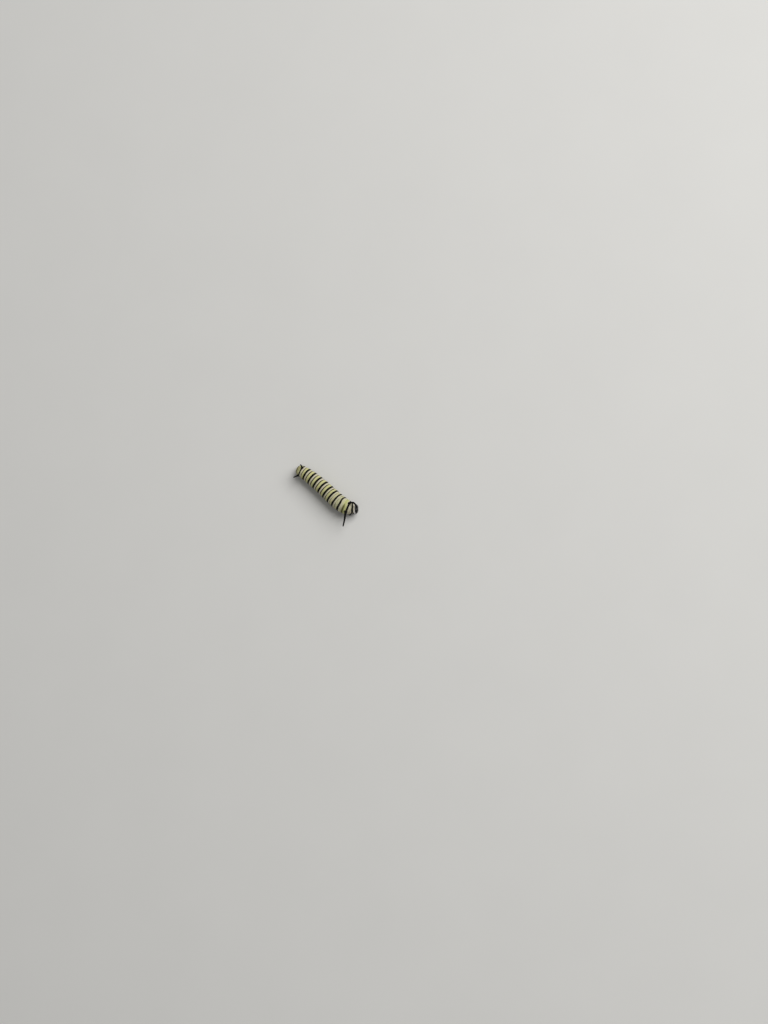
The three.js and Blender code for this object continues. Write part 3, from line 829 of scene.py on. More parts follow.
class Workshop:
    """Moves finished forms from the larva's millimetres into the frame, sets them on the body and hides the
    parts that they replace.
    """

    MATCHED_NODE = "abdomen_4"
    MATCHED_PLACES = (0, 0.07, 0.2, 0.34, 0.44, 0.58, 0.68, 0.8, 0.93, 1)
    MATCHED_SIDES = 28
    SEAM = 0.1

    def __init__(self, trunk: Trunk) -> None:
        """Finds where the frame holds the larva, from the box of one of its segments."""
        start = trunk.place(self.MATCHED_NODE, 0) + self.SEAM / 2
        end = trunk.place(self.MATCHED_NODE, 1) - self.SEAM / 2
        angles = [360 * j / self.MATCHED_SIDES - 180 for j in range(self.MATCHED_SIDES)]
        sections = [trunk.section(blend(start, end, place)) for place in self.MATCHED_PLACES]
        points = [section.point(angle) for section in sections for angle in angles]
        shaped = Vector((min(axis) + max(axis)) / 2 for axis in zip(*points))
        low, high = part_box(self.MATCHED_NODE)
        shift = (Vector(low) + Vector(high)) / 2 / MM - shaped
        log.info("the larva's tail stands at %s mm", [round(v, 3) for v in shift])
        self.to_frame = Matrix.Scale(MM, 4) @ Matrix.Translation(shift)
        self.materials: dict[Finish, bpy.types.Material] = {}

    def finish(self, form: Form, name: str, finish: Finish, nodes: Sequence[str] = ()) -> None:
        """Makes a form a piece of the larva.

        Args:
            form: The finished form, in millimetres.
            name: The piece's name.
            finish: What it is made of.
            nodes: The nodes that it stands for.
        """
        if finish not in self.materials:
            self.materials[finish] = finish.build()
        bmesh.ops.triangulate(form.bm, faces=[f for f in form.bm.faces if len(f.verts) > 4])
        mesh = form.baked(name)
        mesh.transform(self.to_frame)
        mesh.materials.append(self.materials[finish])
        piece = show(name, mesh)
        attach(piece, BODY)
        if nodes:
            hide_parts(*nodes)
        log.info("%s: %d faces", name, len(mesh.polygons))


class Markings:
    """Where the bands, lines and pale tones of the skin lie, as layers on its vertices.

    An edge layer is the distance inside a marking's edge, in millimetres, and is negative outside it.
    """

    LAYERS = ("black_edge", "line_edge", "spot_edge", "warmth", "greenness", "greyness", "shade", "sole")
    OUTSIDE = -1.0
    # Each band's segment, place on it and half width
    BANDS = (
        ("abdomen_8", 0.49, 0.11), ("abdomen_7", 0.52, 0.155), ("abdomen_6", 0.55, 0.16),
        ("abdomen_5", 0.55, 0.165), ("abdomen_4", 0.55, 0.16), ("abdomen_3", 0.52, 0.165),
        ("abdomen_2", 0.46, 0.16), ("abdomen_1", 0.4, 0.145), ("metathorax", 0.43, 0.15),
        ("mesothorax", 0.62, 0.13), ("prothorax", 0.44, 0.11),
    )
    # For the stretch behind each band, and the last one's front: the warmth of its rear and of its front, its
    # green, its grey and the strength of its thin line
    STRETCHES = (
        (0.9, 1.0, 0.0, 0.12, 0.0), (0.1, 1.0, 0.0, 0.0, 0.8), (0.05, 1.0, 0.0, 0.0, 1.0),
        (0.0, 1.0, 0.0, 0.0, 1.0), (0.0, 1.0, 0.0, 0.0, 1.0), (0.0, 1.0, 0.0, 0.0, 1.0),
        (0.05, 0.95, 0.0, 0.0, 0.82), (0.15, 0.55, 0.0, 0.0, 0.55), (0.1, 0.3, 0.25, 0.15, 0.55),
        (0.2, 0.95, 0.5, 0.0, 0.66), (0.0, 0.15, 0.0, 0.6, 0.0), (0.0, 0.0, 0.0, 0.1, 0.0),
    )
    WARMTH_TURN = (0.4, 0.52)
    GREEN_RISE = (0.2, 0.6)
    LINE_PLACE = 0.445
    LINE_HALF = 0.074
    LINE_THINNING = 1.6
    LINE_FADE = 0.7
    # The fold behind the front filaments has painted shade on the right, where the larva bends away from it:
    # a dark olive wedge with a thin dark line down its middle
    WEDGE_STRETCH = 9
    WEDGE_PLACE = 0.56
    WEDGE_FADES = (-30, 12)
    WEDGE_HALVES = (0.05, 0.15)
    # The bands lean forward down the flanks, and two thoracic ones sway besides: the band, how far back it
    # sways and within what distance of it, and the degrees from the top and the spread of the sway
    LEFT_LEAN = 0.14
    RIGHT_LEAN = 0.09
    SWAYS = ((8, 0.16, 0.6, 38, 26), (10, 0.15, 0.3, 58, 26), (10, -0.11, 0.3, -42, 19))
    # The pale skin is white in a strip behind the band of the front filaments, hardly so on the right
    WHITE_STRIP = (0.7, 0.8)
    WHITE_RIGHT = 0.15
    # A narrow dark arch runs round the plate over the tail's end, down to the claspers
    ARCH_PLACE = 0.29
    ARCH_HALF = 0.05
    # Painted shade: the bands widen down the flanks, and the belly darkens till it is black
    FLANK = (66, 128)
    FLANK_WIDENS = 0.085
    BELLY = (128, 152)
    BELLY_BLACK = 0.72
    BELLY_SLOPE = 0.6

    def __init__(self, trunk: Trunk) -> None:
        """Works out where each band's middle lies."""
        self.middles = [trunk.place(name, fraction) for name, fraction, _ in self.BANDS]
        self.halves = [half for _, _, half in self.BANDS]
        self.tail_period = self.middles[1] - self.middles[0]

    def band_place(self, distance: float) -> tuple[int, float, float]:
        """Where a distance lies among the bands.

        Args:
            distance: Millimetres from the tail.

        Returns:
            The number of the band ahead of it, the fraction of the stretch that is passed, and its length.
        """
        ahead = next((i for i, middle in enumerate(self.middles) if middle > distance), len(self.middles))
        if ahead == 0:
            return 0, 1 - (self.middles[0] - distance) / self.tail_period, self.tail_period
        if ahead == len(self.middles):
            return ahead, min(1.0, (distance - self.middles[-1]) / self.tail_period), self.tail_period
        span = self.middles[ahead] - self.middles[ahead - 1]
        return ahead, (distance - self.middles[ahead - 1]) / span, span

    def at(self, distance: float, angle: float) -> dict[str, float]:
        """The layers' values at a place of the trunk's skin.

        Args:
            distance: Millimetres from the tail.
            angle: Degrees down from the top of the back.

        Returns:
            The value of each layer.
        """
        arch = self.ARCH_HALF - abs(distance - self.ARCH_PLACE)
        lean = self.LEFT_LEAN if angle > 0 else self.RIGHT_LEAN
        distance -= lean * (1 - max(0.0, cos(radians(angle))))
        distance += sum(
            sway * bell(distance - self.middles[band], within) * bell(angle - turned, spread)
            for band, sway, within, turned, spread in self.SWAYS
        )
        ahead, fraction, span = self.band_place(distance)
        rear, front, green, grey, strength = self.STRETCHES[ahead]
        # Painted shade: wider bands down the flanks and a darker belly
        widen = self.FLANK_WIDENS * ramp(abs(angle), *self.FLANK)
        belly = ramp(abs(angle), *self.BELLY)
        edges = [arch, (belly - self.BELLY_BLACK) * self.BELLY_SLOPE]
        if ahead > 0:
            edges.append(self.halves[ahead - 1] + widen - fraction * span)
        if ahead < len(self.halves):
            edges.append(self.halves[ahead] + widen - (1 - fraction) * span)
        wedged = ahead == self.WEDGE_STRETCH
        off_line = (fraction - (self.WEDGE_PLACE if wedged else self.LINE_PLACE)) * span
        thinned = self.LINE_THINNING * (1 - strength * (1 - self.LINE_FADE * belly))
        line = self.LINE_HALF * (1 - thinned) - abs(off_line)
        wedge, tinted = 0.0, 1.0
        # Painted shade in the fold on the right: the wedge and its thin line; the white strip lies mostly on
        # the left
        if wedged:
            right = ramp(-angle, *self.WEDGE_FADES)
            tinted -= ramp(fraction, *self.WHITE_STRIP) * blend(1, self.WHITE_RIGHT, right)
            line -= self.LINE_HALF * (1 - right)
            wedge = right * bell(off_line, blend(*self.WEDGE_HALVES, right))
        return {
            "black_edge": max(edges),
            "line_edge": line,
            "spot_edge": self.OUTSIDE,
            "warmth": blend(rear, front, ramp(fraction, *self.WARMTH_TURN)) * tinted,
            "greenness": green * ramp(fraction, *self.GREEN_RISE) * tinted,
            "greyness": grey,
            "shade": max(belly, wedge),
            "sole": 0.0,
        }


@dataclass(frozen=True)
class Filament:
    """One filament: where it grows, how far its tip and its bow reach from there, and its two radii."""

    name: str
    segment: str
    fraction: float
    angle: float
    reach: Triple
    bow: Triple
    base: float
    tip: float


@dataclass
class Limb:
    """A filament or false leg as its bristles see it."""

    stations: list[Oval]
    bristles: int

    def point(self, share: float, turn: float) -> SkinPoint:
        """A point on the limb's skin, at a share of the way to its end and a turn in radians."""
        steps = len(self.stations) - 1
        index = min(int(share * steps), steps - 1)
        here, following = self.stations[index : index + 2]
        rest = share * steps - index
        centre = here.centre.lerp(following.centre, rest)
        half_across = blend(here.half_across, following.half_across, rest)
        half_over = blend(here.half_over, following.half_over, rest)
        point = Oval(centre, here.across, here.over, half_across, half_over).point(turn)
        return point, (point - centre).normalized(), (following.centre - here.centre).normalized()


@dataclass
class Foot:
    """The sole of one false leg."""

    middle: Vector
    forward: Vector
    outward: Vector
    half_along: float
    half_across: float


@dataclass
class BodySkin:
    """The one soft skin of the trunk, the false legs, the claspers and the four filaments."""

    trunk: Trunk
    markings: Markings
    grid: list[Ring] = field(default_factory=list)
    rows: list[float] = field(default_factory=list)
    limbs: list[Limb] = field(default_factory=list)
    feet: list[Foot] = field(default_factory=list)

    sides: int = 80
    row_step: float = 0.06
    tail_rows: tuple[float, ...] = (0.004, 0.016, 0.036, 0.066, 0.11)
    # How far ahead of the neck the skin goes on, and how far inside it
    NECK_TURNS = ((0.03, 0.03), (0.035, 0.08), (0.0, 0.13), (-0.06, 0.2))
    root_smoothings: int = 3
    root_fade: float = 0.2

    FILAMENTS = (
        Filament("front_left", "mesothorax", 0.58, 32, (1.43, 0.27, 0.03), (-0.085, 0.4, 0.44), 0.175, 0.1),
        Filament("front_right", "mesothorax", 0.58, -41, (1.27, -2.06, 0.3), (0.1, 0, 0.16), 0.18, 0.105),
        Filament("rear_left", "abdomen_8", 0.5, 31, (-0.39, 0.24, 0.75), (0.02, 0.04, 0.06), 0.145, 0.088),
        Filament("rear_right", "abdomen_8", 0.5, -57, (-0.3, -0.8, 0.37), (0.02, -0.03, 0.1), 0.145, 0.088),
    )
    filament_depth: float = 0.35
    filament_start: float = 0.05
    filament_step: float = 0.075
    filament_patch: float = 1.25
    collar: float = 0.3
    collar_reach: float = 0.12
    ripple: float = 0.025
    ripples_per_mm: int = 9
    blunt_from: float = 0.93
    blunt_least: float = 0.35
    tip_rise: float = 0.25
    bristles_per_mm: int = 70

    PROLEG_SEGMENTS = ("abdomen_3", "abdomen_4", "abdomen_5", "abdomen_6")
    # The height of each loop over the floor, and its half widths along the larva and across it
    PROLEG_LOOPS = (
        (0.62, 0.33, 0.29), (0.5, 0.3, 0.26), (0.44, 0.262, 0.222), (0.41, 0.258, 0.218),
        (0.36, 0.262, 0.222), (0.29, 0.232, 0.19), (0.24, 0.206, 0.166), (0.215, 0.206, 0.166),
        (0.17, 0.245, 0.205), (0.11, 0.262, 0.222), (0.06, 0.255, 0.215), (0.025, 0.235, 0.195),
        (0.004, 0.2, 0.16), (0.0, 0.13, 0.1),
    )
    sole_loops: int = 3
    proleg_spread: float = 0.62
    proleg_lean: float = 0.14
    proleg_lean_level: float = 0.3
    proleg_place: float = 0.5
    proleg_patch: float = 0.3
    proleg_patch_round: int = 17
    proleg_bristles: int = 14
    clasper_spread: float = 0.46
    clasper_place: float = 0.42
    clasper_scale: float = 1.12

    plate_end: float = 0.42
    plate_fade: float = 0.15
    plate_level: float = 0.86
    plate_bow: float = 0.5
    plate_rise: float = 0.035
    plate_groove: float = 0.045

    fold_crease: float = 0.042
    fold_crease_width: float = 0.045
    flank_crease: float = 0.6
    flank_from: Pair = (60, 100)
    flank_to: Pair = (140, 165)
    ring_crease: float = 0.018
    ring_crease_width: float = 0.035
    swing: float = 0.03
    lobe_swell: float = 0.05
    lobe_angle: int = 114
    lobe_spread: int = 11
    groove_depth: float = 0.035
    groove_angle: int = 99
    groove_spread: int = 6
    unevenness: float = 0.006

    spot_radius: float = 0.08
    spot_height: float = 0.6
    spot_ahead: float = 0.1
    spot_squash: float = 0.8
    spot_level: float = 0.8
    spot_outside: float = 0.02
    filament_black: float = 0.05
    foot_black: Pair = (0.05, 0.3)
    sole_from: Pair = (0.86, 0.97)

    def build(self) -> Form:
        """The whole skin, with the layers that its material reads."""
        form = Form("distance", "sine", "cosine", "filament", "foot")
        self._lay_trunk(form)
        for filament in self.FILAMENTS:
            self._grow_filament(form, filament)
        for side in Side:
            for name in self.PROLEG_SEGMENTS:
                distance = self.trunk.place(name, self.proleg_place)
                self._grow_foot(form, distance, side, self.proleg_spread, 1.0)
            self._grow_foot(form, self.clasper_place, side, self.clasper_spread, self.clasper_scale)
        finer = form.smoothed()
        self._press_relief(finer)
        self._paint(finer)
        return finer

    def _lay_trunk(self, form: Form) -> None:
        """Joins the trunk's rows from the tail on, and turns its end in under the head."""
        self.rows = list(self.tail_rows)
        for segment in SEGMENTS:
            count = max(2, round(segment.length / self.row_step))
            steps = [self.trunk.place(segment.name, i / count) for i in range(count)]
            self.rows += [s for s in steps if s > self.rows[-1] + self.row_step / 2]
        self.rows.append(self.trunk.length)
        stations = [(distance, 0.0, 0.0) for distance in self.rows]
        stations += [(self.trunk.length, ahead, inside) for ahead, inside in self.NECK_TURNS]
        angles = [360 * j / self.sides - 180 for j in range(self.sides)]
        for distance, ahead, inside in stations:
            section = self.trunk.section(distance)
            points = [section.point(angle, -inside) + section.forward * ahead for angle in angles]
            self.grid.append(form.extrude(self.grid[-1], points) if self.grid else form.ring(points))
            for vert, angle in zip(self.grid[-1], angles):
                turn = radians(angle)
                form.mark([vert], distance=distance, sine=sin(turn), cosine=cos(turn))
        form.close(self.grid[0])
        form.close(self.grid[-1])

    def _open_patch(
        self, form: Form, distance: float, angle: float, half_along: float, half_around: float
    ) -> list[Vert]:
        """Takes the faces out of a patch of the trunk.

        Args:
            form: The skin.
            distance: The patch's middle, in millimetres from the tail.
            angle: The patch's middle, in degrees from the top of the back.
            half_along: Half its length, in millimetres.
            half_around: Half its width round the trunk, in degrees.

        Returns:
            The loop of vertices round the hole.
        """
        rows = [i for i, row in enumerate(self.rows) if abs(row - distance) <= half_along]
        low, high = rows[0], rows[-1]
        left, right = [round((angle + half + 180) / 360 * self.sides) for half in (-half_around, half_around)]
        columns = [j % self.sides for j in range(left, right + 1)]
        loop = [self.grid[low][j] for j in columns]
        loop += [self.grid[i][columns[-1]] for i in range(low + 1, high + 1)]
        loop += [self.grid[high][j] for j in reversed(columns[:-1])]
        loop += [self.grid[i][columns[0]] for i in range(high - 1, low, -1)]
        inside = {self.grid[i][j] for i in range(low, high + 1) for j in columns}
        faces = [f for f in form.bm.faces if inside.issuperset(f.verts)]
        bmesh.ops.delete(form.bm, geom=faces, context="FACES")
        return loop

    def _grow(self, form: Form, loop: Ring, stations: Sequence[Oval], layer: str, tip: Vector | None) -> None:
        """Extrudes a hole's edge through rounded stations, closes the last one and smooths the root.

        Args:
            form: The skin.
            loop: The vertices round the hole.
            stations: The limb's sections, from the root.
            layer: The number layer that rises from 0 at the root to 1 at the end.
            tip: Where the last fan's middle goes, if not in the loop's middle.
        """
        root = stations[0]
        offsets = [v.co - root.centre for v in loop]
        turns = [atan2(offset.dot(root.over), offset.dot(root.across)) for offset in offsets]
        swing = sum(remainder(b - a, tau) for a, b in pairwise([*turns, turns[0]]))
        step = copysign(tau / len(loop), swing)
        offset = sum(remainder(turn - turns[0] - step * i, tau) for i, turn in enumerate(turns))
        first = turns[0] + offset / len(loop)
        rings = [loop]
        for number, station in enumerate(stations, 1):
            rings.append(form.extrude(rings[-1], [station.point(first + step * i) for i in range(len(loop))]))
            form.mark(rings[-1], **{layer: number / len(stations)})
        form.close(rings[-1], tip)
        near = {*loop, *rings[1], *(e.other_vert(v) for v in loop for e in v.link_edges)}
        for _ in range(self.root_smoothings):
            bmesh.ops.smooth_vert(
                form.bm, verts=list(near), factor=0.5, use_axis_x=True, use_axis_y=True, use_axis_z=True
            )

    def _grow_filament(self, form: Form, filament: Filament) -> None:
        """Grows one filament out of the back."""
        distance = self.trunk.place(filament.segment, filament.fraction)
        section = self.trunk.section(distance)
        root = section.point(filament.angle)
        inward = (section.centre - root).normalized() * self.filament_depth
        end = root + Vector(filament.reach)
        curve = Curve(root + inward, root, root.lerp(end, 0.5) + Vector(filament.bow), end)
        outside = curve.length - self.filament_depth
        starts = (self.filament_depth + self.filament_start) / curve.length
        half = filament.base * self.filament_patch
        loop = self._open_patch(form, distance, filament.angle, half, degrees(half / section.half_width))

        def radius(share: float) -> float:
            """The filament's radius, with a collar at its root and a blunt tip."""
            grown = (share - starts) / (1 - starts)
            passed = grown * curve.length
            collar = 1 + self.collar * bell(passed, self.collar_reach)
            ripple = 1 + self.ripple * waver(passed * self.ripples_per_mm, filament.angle, 0)
            past = max(0.0, grown - self.blunt_from) / (1 - self.blunt_from)
            blunt = blend(self.blunt_least, 1, sqrt(max(0.0, 1 - past**2)))
            return blend(filament.base, filament.tip, grown**0.9) * collar * ripple * blunt

        count = max(8, round(outside / self.filament_step))
        shares = [blend(starts, 1, i / count) for i in range(count + 1)]
        stations = curve.ovals(shares, section.forward, radius)
        self.limbs.append(Limb(stations, round(self.bristles_per_mm * outside)))
        tip = curve.point(1) + curve.direction(1) * filament.tip * self.tip_rise
        self._grow(form, loop, stations, "filament", tip)

    def _grow_foot(self, form: Form, distance: float, side: Side, spread: float, scale: float) -> None:
        """Grows one false leg down to its sole on the floor, by how far it stands from the midline."""
        section = self.trunk.section(distance)
        angle = side.value * (180 - degrees(asin(min(0.95, spread / section.half_width))))
        half_around = self.proleg_patch_round * scale / section.half_width
        loop = self._open_patch(form, distance, angle, self.proleg_patch * scale, half_around)
        belly = min(v.co.z for v in loop)
        outward = section.left * side.value
        stations = []
        for height, along, across in self.PROLEG_LOOPS:
            if height > belly - 0.02:
                continue
            lean = self.proleg_lean * (self.proleg_lean_level - height)
            centre = section.centre + outward * (spread + lean)
            centre.z = height
            stations.append(Oval(centre, section.ahead, section.left, along * scale, across * scale))
        self.limbs.append(Limb(stations[: -self.sole_loops], self.proleg_bristles))
        sole = stations[-self.sole_loops]
        self.feet.append(Foot(sole.centre, section.ahead, outward, sole.half_across, sole.half_over))
        self._grow(form, loop, stations, "foot", None)

    @staticmethod
    def _place(form: Form, vert: Vert) -> Pair:
        """How far from the tail a vertex lies or has its root, and how many degrees from the top."""
        sine, cosine = vert[form.layers["sine"]], vert[form.layers["cosine"]]
        return vert[form.layers["distance"]], degrees(atan2(sine, cosine))

    def _press_relief(self, form: Form) -> None:
        """Presses the folds, rings and lobes into the skin, along its normals."""
        form.bm.normal_update()
        for vert in form.bm.verts:
            on_limb = max(vert[form.layers["filament"]], vert[form.layers["foot"]])
            distance, angle = self._place(form, vert)
            depth = self.relief(distance, angle) + self._tail_relief(distance, vert.co)
            vert.co += vert.normal * depth * (1 - ramp(on_limb, 0, self.root_fade))

    def _tail_relief(self, distance: float, point: Vector) -> float:
        """How far the plate over the tail's end stands out, with the slit below it, in millimetres."""
        if distance > self.plate_end:
            return 0.0
        across = point.dot(self.trunk.section(distance).left)
        above = point.z - self.plate_level - self.plate_bow * across**2
        slit = bell(across, 0.03) * (1 - ramp(above, -0.12, -0.02))
        depth = self.plate_rise * ramp(above, -0.05, 0.05)
        depth -= self.plate_groove * (bell(above + 0.03, 0.04) + slit)
        return depth * (1 - ramp(distance, self.plate_end - self.plate_fade, self.plate_end))

    def relief(self, distance: float, angle: float) -> float:
        """How far the skin stands out at a place, in millimetres."""
        segment, u = self.trunk.locate(distance)
        down = abs(angle)
        swing = self.swing * waver(distance * 0.9, angle / 25, 3)
        to_fold = min(u, 1 - u) * segment.length
        if distance > self.trunk.length - segment.length / 2 and segment.name == "prothorax":
            to_fold = u * segment.length
        flank = ramp(down, *self.flank_from) * (1 - ramp(down, *self.flank_to))
        crease = bell(to_fold + abs(swing) * 0.4, self.fold_crease_width) * (1 + self.flank_crease * flank)
        depth = self.unevenness * waver(distance * 9, angle / 9, 7) - self.fold_crease * crease
        for place in Trunk.RING_PLACES:
            strength = 0.6 + 0.8 * waver(distance, angle / 30, place * 20)
            off_ring = (u - place + swing) * segment.length
            depth -= self.ring_crease * strength * bell(off_ring, self.ring_crease_width)
        lobe = self.lobe_swell * bell(down - self.lobe_angle, self.lobe_spread)
        groove = self.groove_depth * bell(down - self.groove_angle, self.groove_spread)
        return depth + (lobe - groove) * (1 - abs(2 * u - 1) ** 3)

    def _spot_edge(self, foot: Foot, point: Vector) -> float:
        """How far a point lies inside the white spot on a false leg's outer side, in millimetres."""
        away = point - foot.middle
        if away.dot(foot.outward) < self.spot_outside:
            return Markings.OUTSIDE
        ahead = away.dot(foot.forward) - self.spot_ahead
        return self.spot_radius - hypot(ahead, (point.z - self.spot_height) * self.spot_squash)

    def _paint(self, form: Form) -> None:
        """Writes the layers that the material reads."""
        form.add_layers(*Markings.LAYERS)
        for vert in form.bm.verts:
            values = self.markings.at(*self._place(form, vert))
            on_filament, on_foot = vert[form.layers["filament"]], vert[form.layers["foot"]]
            if on_filament > 0:
                values["black_edge"] = max(values["black_edge"], self.filament_black + on_filament)
            if vert.co.z < self.spot_level:
                values["spot_edge"] = max(self._spot_edge(foot, vert.co) for foot in self.feet)
            if on_foot > 0:
                start, slope = self.foot_black
                values["black_edge"] = max(values["black_edge"], slope * (on_foot - start))
                values["shade"] = max(values["shade"], on_foot)
                values["sole"] = ramp(on_foot, *self.sole_from)
            form.mark([vert], **values)


@dataclass
class Head:
    """The head: its capsule, eyes, feelers and mouth parts, in a frame of its own on the neck.

    In the head's own millimetres x runs ahead, y to its left and z up.
    """

    trunk: Trunk

    heading: int = 42
    nod: int = 26
    forward: float = 0.28
    drop: float = 0.04
    half: Vector = field(default_factory=lambda: Vector((0.62, 0.83, 0.76)))
    sides: int = 208
    loops: int = 136
    lobe: Vector = field(default_factory=lambda: Vector((0.35, 0.55, 0.55)).normalized())
    lobe_swell: float = 0.07
    lobe_spread: float = 0.6
    groove_depth: float = 0.05
    groove_width: float = 0.13
    groove_fade: Pair = (0.02, 0.27)
    # The seams' depth, then each seam's share of it and its width: over the crown, round the face, along its
    # strip and over the upper lip
    seam_depth: float = 0.022
    crown_seam: Pair = (1.0, 0.024)
    face_seam: Pair = (0.6, 0.022)
    strip_seam: Pair = (0.5, 0.02)
    lip_seam: Pair = (0.7, 0.02)
    front: Pair = (-0.1, 0.1)
    face_top: float = 0.12
    face_slope: float = 0.42
    face_edge: Pair = (-0.05, 0.02)
    face_fade: Pair = (-0.68, -0.56)
    face_depth: float = 0.03
    strip_width: float = 0.085
    lip_level: float = -0.55
    lip_ends: Pair = (0.3, 0.36)
    # The rises on both sides: each one's middle, how far from it the crest lies, its spread and its height
    RISES = (
        (Vector((0.5, 0.8, -0.34)).normalized(), 0.0, 0.24, 0.016),
        (Vector((0.5, 0.42, -0.62)).normalized(), 0.13, 0.04, 0.02),
    )
    unevenness: float = 0.004
    # The outer stripe crosses the crown: its height and place there, its slope, its half widths below and
    # above, how much wider its foot is, and where it ends
    outer_top: float = 0.75
    outer_back: float = -0.31
    outer_slope: float = 0.71
    outer_halves: Pair = (0.06, 0.085)
    outer_heights: Pair = (0.15, 0.7)
    outer_foot: float = 0.04
    outer_foot_heights: Pair = (-0.45, -0.15)
    outer_end: float = -0.5
    # The inner stripes frame the face: their place at a height, their slope and half width, and their ends
    inner_place: float = 0.055
    inner_height: float = 0.2
    inner_slope: float = 0.48
    inner_half: float = 0.046
    inner_ends: Pair = (-0.47, 0.22)

    mouth_level: float = -0.58
    RIM = ((0.96, -0.012), (0.9, 0.0), (0.86, 0.08), (0.7, 0.22))
    rim_paleness: float = 0.7

    eye_toward: Triple = (0.5, 0.8, -0.34)
    eye_arc: float = 0.14
    EYE_ANGLES = (-70, -25, 20, 65, 110, 180)
    eye_lens: float = 0.046
    eye_sides: int = 20
    # A lens and its rim: the radius as a share of the lens's, and the height in millimetres
    EYE_PROFILE = (
        (1.25, -0.03), (1.28, 0.004), (1.16, 0.014), (1.02, 0.008), (0.94, 0.016), (0.76, 0.032),
        (0.5, 0.044), (0.22, 0.05),
    )
    eye_top: float = 0.051

    antenna_root: Triple = (0.2, 0.34, -0.36)
    antenna_tip: Triple = (0.46, 0.62, -0.84)
    # The shares of the way where each joint starts and ends, its two radii and its paleness
    ANTENNA_JOINTS = (
        (0.34, 0.56, (0.105, 0.088), 0.9),
        (0.52, 0.82, (0.07, 0.062), 0.25),
        (0.78, 0.97, (0.044, 0.036), 0.1),
    )
    peg_start: float = 0.93
    peg_ends: Pair = (1.04, 1.02)
    peg_aside: Triple = (0.02, 0.015, 0)
    peg_radius: float = 0.014

    # Half of the upper lip's outline, as the place across and the height, from the middle of its upper edge
    LABRUM = (
        (0.0, -0.34), (0.2, -0.36), (0.225, -0.46), (0.235, -0.52), (0.25, -0.6), (0.245, -0.68),
        (0.21, -0.735), (0.14, -0.76), (0.075, -0.755), (0.03, -0.715), (0.0, -0.66),
    )
    labrum_thickness: float = 0.12
    labrum_bevel: float = 0.022
    labrum_inset: float = 0.03
    labrum_sunk: float = 0.006
    labrum_lean: int = 4
    labrum_ahead: float = 0.44
    labrum_bow: float = 0.9

    jaw_half: Triple = (0.16, 0.18, 0.25)
    jaw_centre: Triple = (0.2, 0.22, -0.62)
    jaw_teeth: float = 0.022
    teeth_per_mm: int = 58
    jaw_narrows: float = 0.35
    jaw_leans: float = 0.05
    jaw_paleness: float = 0.72

    lip_half: Triple = (0.14, 0.13, 0.22)
    lip_centre: Triple = (-0.16, 0, -0.62)
    tube_start: Triple = (-0.16, 0, -0.78)
    tube_lean: int = 20
    tube_length: float = 0.19
    tube_radii: Pair = (0.055, 0.026)
    maxilla_half: Triple = (0.12, 0.1, 0.2)
    maxilla_centre: Triple = (-0.1, 0.18, -0.6)
    palp_root: Triple = (-0.07, 0.19, -0.7)
    palp_lean: Triple = (0.12, 0.02, -1)
    # Where each joint of the palp starts and its length, in millimetres, its radius and its paleness
    PALP_JOINTS = ((0.0, 0.1, 0.07, 0.15), (0.075, 0.075, 0.05, 0.5), (0.13, 0.05, 0.032, 0.85))
    small_palp: Triple = (-0.23, 0.07, -0.76)
    small_palp_reach: Triple = (-0.03, 0.01, -0.1)
    small_palp_radius: float = 0.024

    def __post_init__(self) -> None:
        """Sets the head's frame on the end of the neck."""
        neck = self.trunk.section(self.trunk.length)
        origin = neck.centre + neck.forward * self.forward
        origin.z -= self.drop
        turn = Matrix.Rotation(radians(self.heading), 4, "Z")
        self.matrix = Matrix.Translation(origin) @ turn @ Matrix.Rotation(radians(self.nod), 4, "Y")

    @staticmethod
    def _off(out: Vector, middle: Vector) -> float:
        """How far a direction is from another one or from its mirror image."""
        return hypot(out.x - middle.x, abs(out.y) - middle.y, out.z - middle.z)

    def _sunk(self, out: Vector) -> float:
        """How deep the groove, the face and the seams are sunk in a direction."""
        across = out.y * self.half.y
        crown = ramp(out.z, *self.groove_fade) if out.x > 0 else 1.0
        front = ramp(out.x, *self.front)
        face = ramp(out.z, *self.face_fade) * front
        off_face = abs(out.y) - (self.face_top - out.z) * self.face_slope
        lip = (1 - ramp(abs(out.y), *self.lip_ends)) * front
        seams = (
            (crown, across, self.crown_seam),
            (face, off_face, self.face_seam),
            (face, off_face - self.strip_width, self.strip_seam),
            (lip, out.z - self.lip_level, self.lip_seam),
        )
        depth = self.groove_depth * bell(across, self.groove_width) * crown
        depth += self.face_depth * (1 - ramp(off_face, *self.face_edge)) * face
        return depth + self.seam_depth * sum(
            there * share * bell(distance, width) for there, distance, (share, width) in seams
        )

    def surface(self, out: Vector) -> Vector:
        """The capsule's surface in the direction of a unit vector, both in the head's frame."""
        swell = 1 + self.lobe_swell * bell(self._off(out, self.lobe), self.lobe_spread)
        rises = [high * bell(self._off(out, at) - crest, width) for at, crest, width, high in self.RISES]
        sunk = self._sunk(out) - sum(rises) + self.unevenness * noise.noise(out * 6)
        return Vector(out[i] * (self.half[i] * swell - sunk) for i in range(3))

    def outward(self, point: Vector) -> Vector:
        """The direction out of the capsule at a point of its surface."""
        return Vector(point[i] / self.half[i] ** 2 for i in range(3)).normalized()

    def seat(self, toward: Vector) -> Matrix:
        """The frame on the surface in a direction, with its third axis outward."""
        point = self.surface(toward.normalized())
        turn = Vector((0, 0, 1)).rotation_difference(self.outward(point))
        return Matrix.Translation(point) @ turn.to_matrix().to_4x4()

